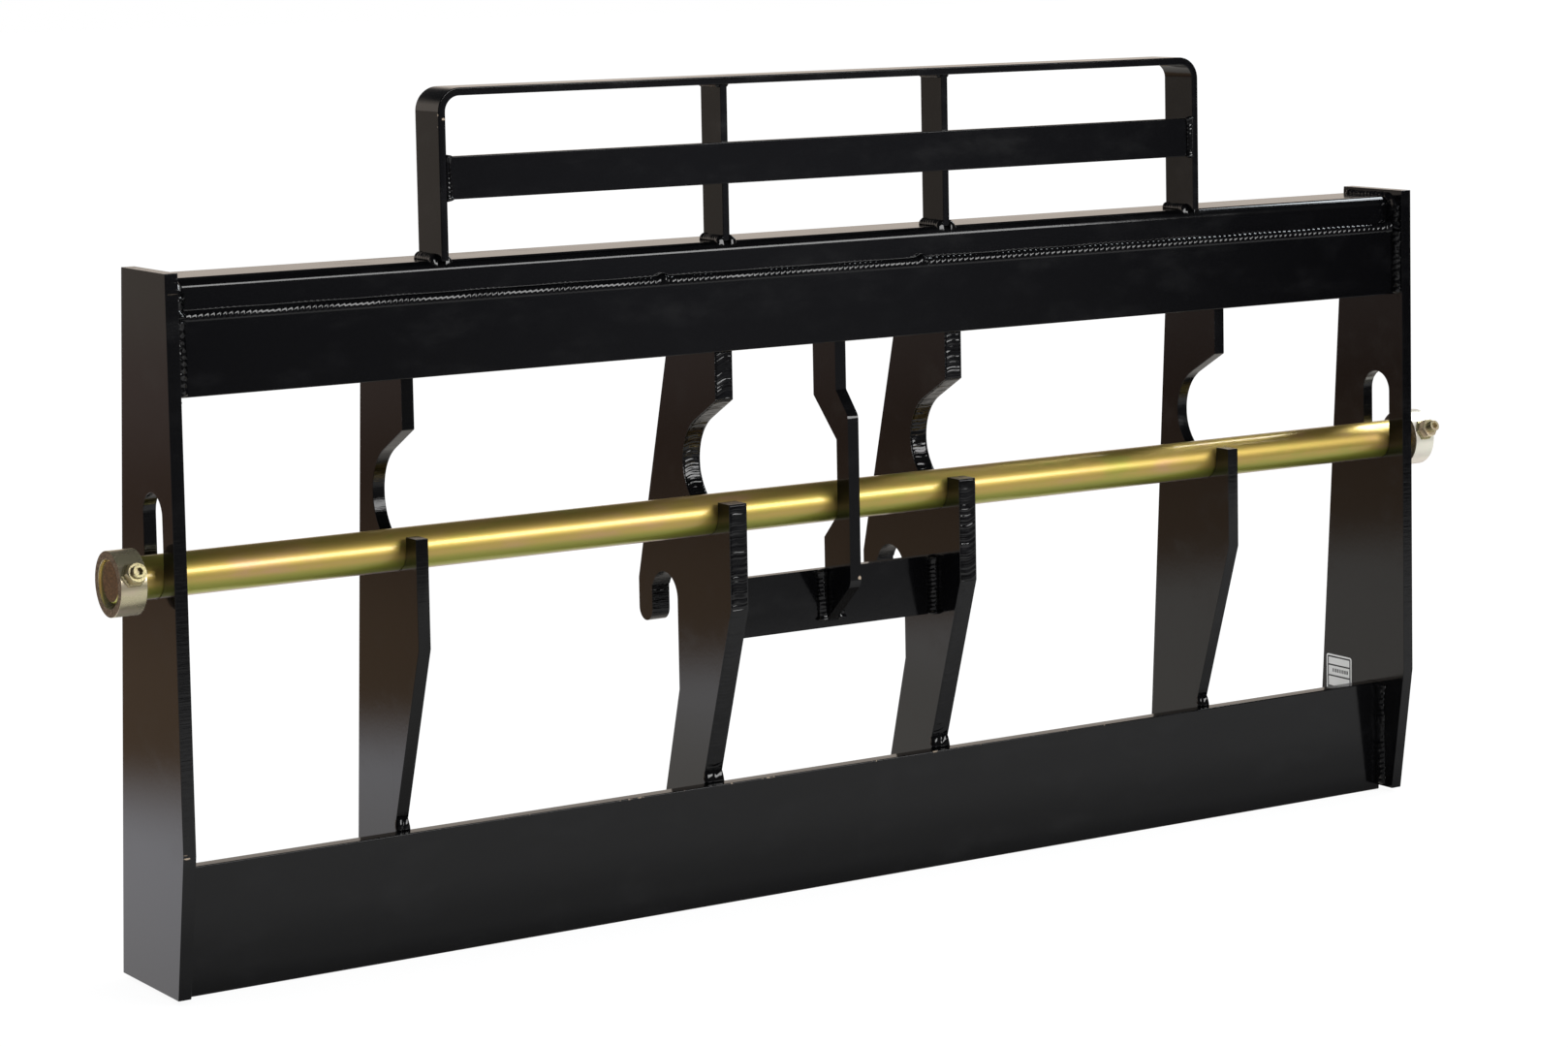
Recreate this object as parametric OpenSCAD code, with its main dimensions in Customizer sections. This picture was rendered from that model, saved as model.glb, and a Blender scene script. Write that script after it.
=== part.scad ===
// Fork carriage for a telescopic handler: a welded steel frame that carries a loose fork shaft.
// X runs along the width, +Y points back to the machine and +Z is up. The origin lies on the
// ground, at mid width, straight below the axis of the fork shaft. Heights count from the ground.

/* [Overall] */
// Width over the two end plates
carriage_w = 1829; // [1500:1:2200]
// Height of the end plates' upper edges
end_h = 841.5; // [805:0.5:905]
// Height of all upright plates' lower edges
foot_z = 5.5; // [0:0.5:12]
// Thickness of the end plates, the outer plates and the retainer
plate_t = 15.875; // [12:0.125:20]
// Thickness of the two inner plates
inner_t = 25.4; // [20:0.1:32]

/* [Fork shaft] */
// Diameter of the fork shaft
shaft_d = 50.8; // [45:0.1:52]
// Height of the shaft's axis when it lies in its pockets
shaft_z = 492.5; // [485:1:500]
// Width of the pockets and of the end plates' slots
slot_w = 54; // [53:0.5:58]
// Height of the top of the end plates' slots
slot_top = 588.5; // [580:1:595]
// Gap under the resting shaft
rest_gap = 0.3; // [0.2:0.05:0.5]
// Recess of the shaft's ends inside the collars
shaft_recess = 3; // [1:0.5:8]

/* [Collars] */
// Outer diameter of a collar
collar_d = 76.2; // [72:0.1:90]
// Bore of a collar
collar_bore = 57.15; // [57.15:0.05:60]
// Length of a collar
collar_l = 31.75; // [28:0.25:40]
// Running gap between a collar and its end plate
collar_gap = 24.5; // [5:0.5:40]
// How far the left collar hangs below the shaft's axis
left_hang = 3; // [0:0.1:3]
// How far the right collar hangs below the shaft's axis
right_hang = 1.3; // [0:0.1:3]
// Width across the flats of a collar's nut
nut_af = 22.2; // [20:0.1:26]
// Height of a nut above its collar
nut_h = 14; // [10:0.5:18]
// Tilt of the nuts above the horizontal
nut_tilt = 20.7; // [0:0.1:45]
// Diameter of a set screw
screw_d = 14.2; // [12:0.1:16]
// How far the left set screw stands out of its nut
left_out = 6.5; // [3:0.5:12]
// How far the right set screw stands out of its nut
right_out = 11; // [3:0.5:12]
// Width across the flats of a set screw's socket
socket_af = 8; // [5:0.1:9]
// Depth of a set screw's socket
socket_deep = 7; // [4:0.5:12]

/* [End plates] */
// How far the front edge stands before the shaft's axis
end_front = 56; // [54:0.5:60]
// How far the rear edge stands behind the shaft's axis at the top
end_rear_top = 67.4; // [60:0.5:75]
// How far the rear edge stands behind the shaft's axis at the ground
rear_foot = 131; // [120:1:145]
// Height at which the front edge starts to taper back
end_kink_z = 176.5; // [160:1:205]
// How far the front edge stands before the shaft's axis at the ground
end_toe = 29; // [20:1:45]

/* [Hook plates] */
// Distance of the outer plates' centres from mid width
outer_x = 602.9; // [500:0.5:700]
// Distance of the inner plates' centres from mid width
inner_x = 171.1; // [150:0.5:250]
// How far the fingers' front edge stands before the shaft's axis
finger_front = 53.5; // [48:0.5:60]
// Height of the fingers' tips
finger_tip_z = 510.5; // [500:1:515]
// Height at which the fingers' front edge starts to taper back
finger_kink_z = 379.5; // [345:1:405]
// How far the plates' front edge stands before the shaft's axis above the throat
neck_front = 26; // [22:0.5:29]
// Height of the throat's upper lip
lip_z = 636.5; // [630:1:645]
// Radius of the throat's arc
throat_r = 62; // [58:0.5:64]
// How far the centre of the throat's arc lies before the shaft's axis
throat_front = 5.5; // [2:0.5:9]
// Height of the centre of the throat's arc
throat_z = 554.5; // [550:1:558]
// How far the plates reach behind the shaft's axis under the tube
neck_rear = 79.5; // [72:0.5:90]

/* [Machine side] */
// Radius of the coupler hooks
hook_r = 31.75; // [25:0.25:34]
// How far the hooks' centre lies behind the shaft's axis
hook_y = 107.8; // [100:0.1:115]
// Height of the hooks' centre
hook_z = 375.8; // [365:0.1:385]
// Width of the lug behind a hook
lug_w = 33; // [25:0.5:45]
// Drop of the lug's end below the hook's centre
lug_drop = 37; // [30:0.5:60]
// Height at which the rear edge starts to flare out below a hook
flare_z = 262; // [225:0.5:295]
// How far the inner plates reach behind the shaft's axis at the ground
flare_foot = 149.8; // [140:0.5:165]
// Diameter of the lock pin's bores
lock_d = 38.6; // [30:0.1:45]
// Height of the lock pin's bores
lock_z = 75.5; // [55:1:115]

/* [Lower rail] */
// Height of the rail
rail_h = 151.5; // [135:0.5:155]
// Thickness of the rail
rail_t = 19.05; // [16:0.05:22]
// How far the rail's front face stands before the shaft's axis
rail_front = 1; // [0:0.5:4]
// Length of the slope that leads the hook plates' front edges onto the rail
heel_run = 5; // [2:0.5:8]

/* [Beam] */
// Side of the square tube
tube_side = 101.6; // [90:0.1:110]
// Wall of the square tube
tube_wall = 6.35; // [4:0.05:9]
// Outer corner radius of the square tube
tube_corner = 12; // [10:0.5:16]
// Drop of the tube's top below the end plates' top
tube_drop = 8.6; // [4:0.1:15]
// How far the tube's front face stands before the shaft's axis
tube_front = 31.5; // [30:0.5:34]
// Height of the face plate
face_h = 87; // [70:0.5:95]
// Thickness of the face plate
face_t = 9.5; // [6:0.5:12]
// Drop of the face plate's upper edge below the tube's top
face_drop = 47.4; // [40:0.1:60]

/* [Retainer and cross bar] */
// How far the retainer's front edge stands before the shaft's axis
strap_front = 53; // [48:0.5:60]
// Gap between the strap and the front of the shaft
strap_gap = 0.6; // [0.4:0.1:2]
// Height at which the retainer's front edge jogs forward
jog_z = 636.5; // [627:1:645]
// Height at which the jog ends
jog_end_z = 605.5; // [595:1:615]
// Gap between the resting shaft and the slope below it
slope_gap = 2.7; // [1:0.1:6]
// Height at which the retainer's front edge starts to taper back
strap_kink_z = 391.5; // [375:1:405]
// Radius of the retainer's bends
strap_round = 14; // [6:0.5:18]
// How far the cross bar's front face lies behind the shaft's axis
bar_back = 6.5; // [4:0.5:12]
// Height of the cross bar's lower edge
bar_z = 330; // [305:0.5:345]
// Height of the cross bar
bar_h = 75.5; // [60:0.5:80]
// Thickness of the cross bar
bar_t = 12.7; // [8:0.1:16]
// Rise of the retainer's toe above the cross bar's lower edge
toe_rise = 8; // [4:0.5:20]

/* [Load guard] */
// Width over the guard's uprights
guard_w = 1120; // [900:1:1300]
// Rise of the guard above the tube
guard_h = 202.6; // [150:0.1:300]
// Thickness of the guard's bars
guard_t = 9.5; // [8:0.5:12]
// Depth of the bent frame
guard_d = 59.5; // [50:0.5:62]
// How far the guard's front edge stands before the shaft's axis
guard_front = 39.5; // [38:0.5:44]
// Inner radius of the guard's bends
guard_bend = 19; // [12:0.5:40]
// Distance of the two middle uprights from mid width
mid_x = 163.5; // [120:0.5:250]
// Height of the guard's cross bar
rung_h = 50.8; // [40:0.1:60]
// Height of the cross bar's centre above the tube
rung_rise = 96.7; // [85:0.1:110]
// How far the cross bar's face lies behind the guard's front edge
rung_set = 3.2; // [2:0.1:6]

/* [Welds] */
// Leg of the heavy fillet welds
weld_leg = 9; // [6:0.5:9]
// Leg of the guard's fillet welds
small_leg = 7; // [4:0.5:8]
// Leg of the welds on the end plates
end_leg = 12; // [8:0.5:13]
// Leg of the same welds on the beam and the rail
face_leg = 5; // [3:0.5:9]

/* [Hidden] */
$fn = 96;

paint = "#17181a";
weld_paint = "#232427";
plating = "#b59a3c";
collar_plating = "#b9b394";

inside_x = carriage_w / 2 - plate_t;
shaft_r = shaft_d / 2;
slot_r = slot_w / 2;
pocket_z = shaft_z - shaft_r - rest_gap + slot_r;
lift_z = slot_top - shaft_r - rest_gap;
tube_top_z = end_h - tube_drop;
tube_low_z = tube_top_z - tube_side;
face_top_z = tube_top_z - face_drop;
face_low_z = face_top_z - face_h;
rail_rear = rail_t - rail_front;
heel = [rail_rear + heel_run * 0.6, rail_h + heel_run];
collar_x = carriage_w / 2 + collar_gap;
shaft_l = 2 * (collar_x + collar_l - shaft_recess);
collar_r = collar_d / 2;
hook_front_y = hook_y - hook_r;
lug_y = hook_y + hook_r + lug_w / 2;
lug_z = hook_z - lug_drop + lug_w / 2;
rung_z = tube_top_z + rung_rise;
rung_front = guard_front - rung_set;
mid_front = rung_front - guard_t;
guard_rear = guard_d - guard_front;
guard_side_x = guard_w / 2 - guard_t;
guard_top_z = tube_top_z + guard_h;
bar_end_x = inner_x - inner_t / 2;
thread_gap = 0.1;

// Geometry helpers

// Points of a corner at b, between a and c, rounded with radius r
function corner(a, b, c, r, steps = 8) =
    let (u = (a - b) / norm(a - b), v = (c - b) / norm(c - b))
    let (half = acos(u * v) / 2, run = r / tan(half), m = (u + v) / norm(u + v))
    let (centre = b + m * r / sin(half), p = b + u * run - centre, q = b + v * run - centre)
    [for (i = [0 : steps]) let (k = sin(90 * i / steps) * sin(90 * i / steps), w = p * (1 - k) + q * k)
        centre + w * r / norm(w)];

// Section of a fillet weld with legs a and b, slightly crowned
function bead(a, b) = [[0, 0], [a, 0], [0.62 * a, 0.62 * b], [0, b]];

// A flat outline in Y and Z, made into a plate of thickness t whose centre lies at x
module plate(x, t) {
    translate([x - t / 2, 0, 0])
        rotate([90, 0, 90])
            linear_extrude(t) children();
}

// A weld along X from x0 to x1 in the corner at y, z
module bead_x(x0, x1, y, z, leg_y, leg_z) {
    translate([x0, y, z])
        rotate([90, 0, 90])
            linear_extrude(x1 - x0) polygon(bead(leg_y, leg_z));
}

// A weld along Y from y0 to y1 in the corner at x, z
module bead_y(y0, y1, x, z, leg_x, leg_z) {
    translate([x, y1, z])
        rotate([90, 0, 0])
            linear_extrude(y1 - y0) polygon(bead(leg_x, leg_z));
}

// A weld along Z from z0 to z1 in the corner at x, y
module bead_z(z0, z1, x, y, leg_x, leg_y) {
    translate([x, y, z0])
        linear_extrude(z1 - z0) polygon(bead(leg_x, leg_y));
}

// A rectangle from low to high with round corners
module round_box(low, high, r) {
    translate(low + [r, 0]) square([high[0] - low[0] - 2 * r, high[1] - low[1]]);
    translate(low + [0, r]) square([high[0] - low[0], high[1] - low[1] - 2 * r]);
    for (y = [low[0] + r, high[0] - r], z = [low[1] + r, high[1] - r])
        translate([y, z]) circle(r);
}

// Copies of the children at both sides of mid width
module both_sides() {
    children();
    mirror([1, 0, 0]) children();
}

// End plates

module end_outline() {
    difference() {
        polygon([[-end_toe, foot_z], [rear_foot, foot_z], [end_rear_top, end_h],
                 [-end_front, end_h], [-end_front, end_kink_z]]);
        shaft_slot();
    }
}

// The upright slot in which the shaft can rise
module shaft_slot() {
    translate([0, pocket_z]) circle(slot_r);
    translate([0, slot_top - slot_r]) circle(slot_r);
    translate([-slot_r, pocket_z]) square([slot_w, slot_top - slot_r - pocket_z]);
}

module end_plate(side) {
    color(paint)
        plate(side * (carriage_w - plate_t) / 2, plate_t) end_outline();
}

// Hook plates

// Front throat with the pocket that the shaft lies in
module throat() {
    lean = lip_z - throat_z;
    reach = neck_front - throat_front;
    far = sqrt(lean * lean + reach * reach);
    touch = acos(throat_r / far) + atan2(lean, -reach);
    touch_point = [-throat_front + throat_r * cos(touch - 2 * acos(throat_r / far)),
                   throat_z + throat_r * sin(touch - 2 * acos(throat_r / far))];
    difference() {
        translate([-throat_front, throat_z]) circle(throat_r);
        translate([-throat_front - throat_r, finger_tip_z - throat_r])
            square([throat_front + throat_r - slot_r, throat_r]);
    }
    polygon([[-neck_front, lip_z], [-finger_front - 1, lip_z], [-finger_front - 1, finger_tip_z],
             [-throat_front, finger_tip_z], [-throat_front, throat_z], touch_point]);
    translate([0, pocket_z]) circle(slot_r);
    translate([-slot_r, pocket_z]) square([slot_w, finger_tip_z - pocket_z + 1]);
}

// Edge that both kinds of hook plate share: from the tube down the front to the ground
function front_edge() = [[-neck_front, tube_low_z], [-neck_front, lip_z], [-finger_front, lip_z],
                         [-finger_front, finger_kink_z], heel, [rail_rear, rail_h],
                         [rail_rear, foot_z]];

module outer_outline() {
    difference() {
        polygon(concat(front_edge(), [[rear_foot, foot_z], [neck_rear, tube_low_z]]));
        throat();
    }
}

// The inner plates carry the hook and the lock pin's bore of the machine's coupler
module inner_outline() {
    difference() {
        union() {
            polygon(concat(front_edge(), [[flare_foot, foot_z], [hook_front_y, flare_z],
                    [hook_front_y, hook_z], [lug_y + lug_w / 2, hook_z + lug_w / 2],
                    [neck_rear, tube_low_z]]));
            translate([lug_y - lug_w / 2, lug_z]) square([lug_w, hook_z + lug_w / 2 - lug_z]);
            translate([lug_y, lug_z]) circle(lug_w / 2);
        }
        throat();
        translate([hook_y, hook_z]) circle(hook_r);
        translate([hook_front_y, flare_z]) square([2 * hook_r, hook_z - flare_z]);
        translate([hook_y, lock_z]) circle(lock_d / 2);
    }
}

module outer_plate(side) {
    color(paint)
        plate(side * outer_x, plate_t) outer_outline();
}

module inner_plate(side) {
    color(paint)
        plate(side * inner_x, inner_t) inner_outline();
}

// Retainer and cross bar

// The strap in front of the shaft, with a recess that leaves the shaft free to rise
module shaft_retainer() {
    back = -(shaft_r + strap_gap);
    slope = sqrt(2);
    recess_top = lift_z + back + slope * (shaft_r + strap_gap);
    recess_low = shaft_z - back - slope * (shaft_r + slope_gap);
    toe = [bar_back, bar_z + toe_rise];
    color(paint)
        plate(0, plate_t)
            polygon(concat(
                [[neck_front, tube_low_z], [-neck_front, tube_low_z], [-neck_front, jog_z]],
                corner([-neck_front, jog_z], [-strap_front, jog_end_z], [-strap_front, strap_kink_z],
                       strap_round),
                corner([-strap_front, jog_end_z], [-strap_front, strap_kink_z], toe, strap_round),
                [toe, [bar_back, recess_low + back - bar_back], [back, recess_low],
                 [back, recess_top], [neck_front, recess_top - back + neck_front]]));
}

module cross_bar() {
    color(paint)
        translate([-bar_end_x, bar_back, bar_z]) cube([2 * bar_end_x, bar_t, bar_h]);
}

// Beam and rail

module top_tube() {
    low = [-tube_front, tube_low_z];
    high = low + [tube_side, tube_side];
    wall = [tube_wall, tube_wall];
    color(paint)
        plate(0, 2 * inside_x)
            difference() {
                round_box(low, high, tube_corner);
                round_box(low + wall, high - wall, max(tube_corner - tube_wall, 1));
            }
}

module face_plate() {
    color(paint)
        translate([-inside_x, -tube_front - face_t, face_low_z])
            cube([2 * inside_x, face_t, face_h]);
}

module lower_rail() {
    color(paint)
        translate([-inside_x, -rail_front, 0]) cube([2 * inside_x, rail_t, rail_h]);
}

// Load guard

// The flat bar bent into an upside-down U
module guard_frame() {
    leg_z = tube_top_z - guard_bend - guard_t;
    color(paint)
        translate([0, guard_rear, 0])
            rotate([90, 0, 0])
                linear_extrude(guard_d)
                    intersection() {
                        difference() {
                            round_box([-guard_w / 2, leg_z], [guard_w / 2, guard_top_z],
                                      guard_bend + guard_t);
                            round_box([-guard_side_x, leg_z - guard_t],
                                      [guard_side_x, guard_top_z - guard_t], guard_bend);
                        }
                        translate([-guard_w / 2, tube_top_z]) square([guard_w, guard_h]);
                    }
}

module guard_upright(side) {
    color(paint)
        translate([side * mid_x - guard_t / 2, -mid_front, tube_top_z])
            cube([guard_t, mid_front + guard_rear, guard_h - guard_t]);
}

module guard_rung() {
    color(paint)
        translate([-guard_side_x, -rung_front, rung_z - rung_h / 2])
            cube([2 * guard_side_x, guard_t, rung_h]);
}

// Fork shaft and collars

module fork_shaft() {
    chamfer = 2;
    color(plating)
        translate([0, 0, shaft_z])
            rotate([0, 90, 0])
                rotate_extrude()
                    polygon([[0, -shaft_l / 2], [shaft_r - chamfer, -shaft_l / 2],
                             [shaft_r, chamfer - shaft_l / 2], [shaft_r, shaft_l / 2 - chamfer],
                             [shaft_r - chamfer, shaft_l / 2], [0, shaft_l / 2]]);
}

// Frame of a set screw: its axis points out of the collar, forward and up
module on_screw_axis(side, hang) {
    translate([side * (collar_x + collar_l / 2), 0, shaft_z - hang])
        rotate([90 - nut_tilt, 0, 0]) children();
}

module collar(side, hang) {
    color(collar_plating)
        difference() {
            translate([side * (collar_x + collar_l / 2), 0, shaft_z - hang])
                rotate([0, 90, 0])
                    difference() {
                        cylinder(d = collar_d, h = collar_l, center = true);
                        cylinder(d = collar_bore, h = collar_l + 2, center = true);
                    }
            on_screw_axis(side, hang) cylinder(r = screw_d / 2 + thread_gap, h = collar_d);
        }
}

// A hex nut with a chamfered face, coped to the collar that it is welded to
module collar_nut(side, hang) {
    color(collar_plating)
        difference() {
            on_screw_axis(side, hang)
                intersection() {
                    cylinder(d = nut_af / cos(30), h = collar_r + nut_h, $fn = 6);
                    cylinder(d1 = nut_af + 2 * (collar_r + nut_h), d2 = nut_af * 0.98,
                             h = collar_r + nut_h);
                }
            on_screw_axis(side, hang) cylinder(r = screw_d / 2 + thread_gap, h = collar_d);
            translate([side * (collar_x + collar_l / 2), 0, shaft_z - hang])
                rotate([0, 90, 0]) cylinder(d = collar_d, h = 2 * collar_d, center = true);
        }
}

// A socket set screw that bears on the shaft
module set_screw(side, hang, out) {
    foot = hang * sin(nut_tilt) + sqrt(shaft_r * shaft_r - pow(hang * cos(nut_tilt), 2));
    tip = collar_r + nut_h + out;
    edge = 1;
    color(collar_plating)
        on_screw_axis(side, hang)
            difference() {
                translate([0, 0, foot + thread_gap])
                    cylinder(d = screw_d, h = tip - foot - thread_gap - edge);
                translate([0, 0, tip - socket_deep])
                    cylinder(d = socket_af / cos(30), h = socket_deep + 1, $fn = 6);
            }
}

// Welds

module face_plate_weld() {
    color(weld_paint)
        bead_x(face_leg - inside_x, inside_x - face_leg, -tube_front, face_top_z,
               -face_t, face_t + 2);
}

// Upright beads that join the tube and the face plate to the end plates
module beam_end_welds() {
    color(weld_paint)
        both_sides() {
            bead_z(face_low_z, face_top_z, inside_x, -tube_front - face_t, -face_leg, -end_leg);
            bead_z(face_top_z, tube_top_z - tube_corner / 2, inside_x, -tube_front,
                   -face_leg, -end_leg);
        }
}

module rail_end_welds() {
    color(weld_paint)
        both_sides()
            bead_z(foot_z, rail_h, inside_x, -rail_front, -face_leg, -end_leg);
}

// Short beads in front of the hook plates' feet, on top of the rail
module foot_welds() {
    up = [-finger_front, finger_kink_z] - heel;
    top = heel + up / norm(up) * weld_leg;
    toe = [rail_rear - weld_leg / 3, rail_h];
    crown = (top + toe) / 2 - [weld_leg, 0] / 6;
    for (at = [[outer_x, plate_t], [inner_x, inner_t]])
        color(weld_paint)
            both_sides()
                plate(at[0], at[1])
                    polygon([[rail_rear, rail_h], heel, top, crown, toe]);
}

module cross_bar_welds() {
    color(weld_paint)
        both_sides() {
            bead_z(bar_z, bar_z + bar_h, bar_end_x, bar_back, -weld_leg, -weld_leg);
            bead_z(bar_z + toe_rise * 1.5, bar_z + bar_h, plate_t / 2, bar_back,
                   weld_leg * 1.2, -weld_leg * 0.7);
        }
}

module guard_welds() {
    flat = -tube_front + tube_corner;
    color(weld_paint)
        both_sides() {
            bead_y(flat, guard_rear, guard_w / 2, tube_top_z, small_leg, small_leg);
            bead_y(flat, guard_rear, guard_side_x, tube_top_z, -small_leg, small_leg);
            bead_z(rung_z - rung_h / 2, rung_z + rung_h / 2, guard_side_x, -rung_front,
                   -small_leg, rung_set - small_leg);
            for (dx = [-1, 1]) {
                bead_y(flat, guard_rear, mid_x + dx * guard_t / 2, tube_top_z,
                       dx * small_leg, small_leg);
                bead_y(-mid_front, guard_rear, mid_x + dx * guard_t / 2, guard_top_z - guard_t,
                       dx * small_leg * 0.6, -small_leg * 0.6);
            }
        }
}

end_plate(-1);  // end_plate_left
end_plate(1);  // end_plate_right
outer_plate(-1);  // outer_plate_left
outer_plate(1);  // outer_plate_right
inner_plate(-1);  // inner_plate_left
inner_plate(1);  // inner_plate_right
shaft_retainer();
cross_bar();
top_tube();
face_plate();
lower_rail();
guard_frame();
guard_upright(-1);  // guard_upright_left
guard_upright(1);  // guard_upright_right
guard_rung();
fork_shaft();
collar(-1, left_hang);  // collar_left
collar(1, right_hang);  // collar_right
collar_nut(-1, left_hang);  // collar_nut_left
collar_nut(1, right_hang);  // collar_nut_right
set_screw(-1, left_hang, left_out);  // set_screw_left
set_screw(1, right_hang, right_out);  // set_screw_right
face_plate_weld();
beam_end_welds();
rail_end_welds();
foot_welds();
cross_bar_welds();
guard_welds();
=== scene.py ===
"""Looks of a fork carriage for a telescopic handler: gloss black steel round a plated fork shaft.

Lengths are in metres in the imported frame. X runs along the width, +Y points back to the machine,
+Z is up, and the ground is at zero height.
"""

from __future__ import annotations

import logging
import math
from dataclasses import dataclass
from enum import Enum
from typing import Callable, Sequence, Union

import bmesh
import bpy
import numpy as np
from mathutils import Matrix, Vector

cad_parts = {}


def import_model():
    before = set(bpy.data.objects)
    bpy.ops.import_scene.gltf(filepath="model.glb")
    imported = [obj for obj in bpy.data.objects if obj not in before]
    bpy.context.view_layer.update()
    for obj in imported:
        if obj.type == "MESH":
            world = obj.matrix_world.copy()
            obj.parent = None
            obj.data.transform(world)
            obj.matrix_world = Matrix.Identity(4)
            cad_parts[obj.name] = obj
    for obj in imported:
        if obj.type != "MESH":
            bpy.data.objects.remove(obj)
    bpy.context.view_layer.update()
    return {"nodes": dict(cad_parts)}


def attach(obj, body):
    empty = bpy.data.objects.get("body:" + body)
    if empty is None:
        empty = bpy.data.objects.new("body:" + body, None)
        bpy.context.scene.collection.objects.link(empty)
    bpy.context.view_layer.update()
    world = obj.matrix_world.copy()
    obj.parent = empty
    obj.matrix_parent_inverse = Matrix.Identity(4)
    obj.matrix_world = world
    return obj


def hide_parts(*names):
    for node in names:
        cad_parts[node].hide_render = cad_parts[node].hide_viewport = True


LOG = logging.getLogger("fork_carriage")
MM = 0.001
INSIDE_X = 898.625 * MM
JOINED_WITHIN = 0.01 * MM
EDGE_FROM = math.radians(28)

Colour = tuple[float, float, float]
Point = tuple[float, float, float]
Flat = tuple[float, float]
Band = tuple[float, float]
Stops = tuple[tuple[float, Colour], ...]
Ring = Sequence[bmesh.types.BMVert]
Socket = bpy.types.NodeSocket
Feed = Union[Socket, float, Sequence[float]]


class Body(Enum):
    """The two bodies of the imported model."""

    CARRIAGE = "carriage"
    SHAFT = "floating_shaft"


class Slot(Enum):
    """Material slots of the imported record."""

    PAINT = "black_paint"
    WELD = "weld_paint"
    PALE = "pale_zinc"


class Side(Enum):
    """The two sides of mid width."""

    LEFT = -1
    RIGHT = 1


def grey(level: float) -> Colour:
    """An even grey."""
    return (level, level, level)


def shade(colour: Colour, share: float) -> Colour:
    """A colour made darker or lighter by a share."""
    red, green, blue = colour
    return (red * share, green * share, blue * share)


@dataclass(frozen=True)
class Grain:
    """A noise pattern on a piece.

    Attributes:
        fine: How finely it is divided.
        detail: How many finer layers lie on it.
        rough: How strongly the finer layers show.
        stretch: Scale along X, Y and Z at which it is read.
    """

    fine: float
    detail: float = 2
    rough: float = 0.5
    stretch: Point = (1, 1, 1)


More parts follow.
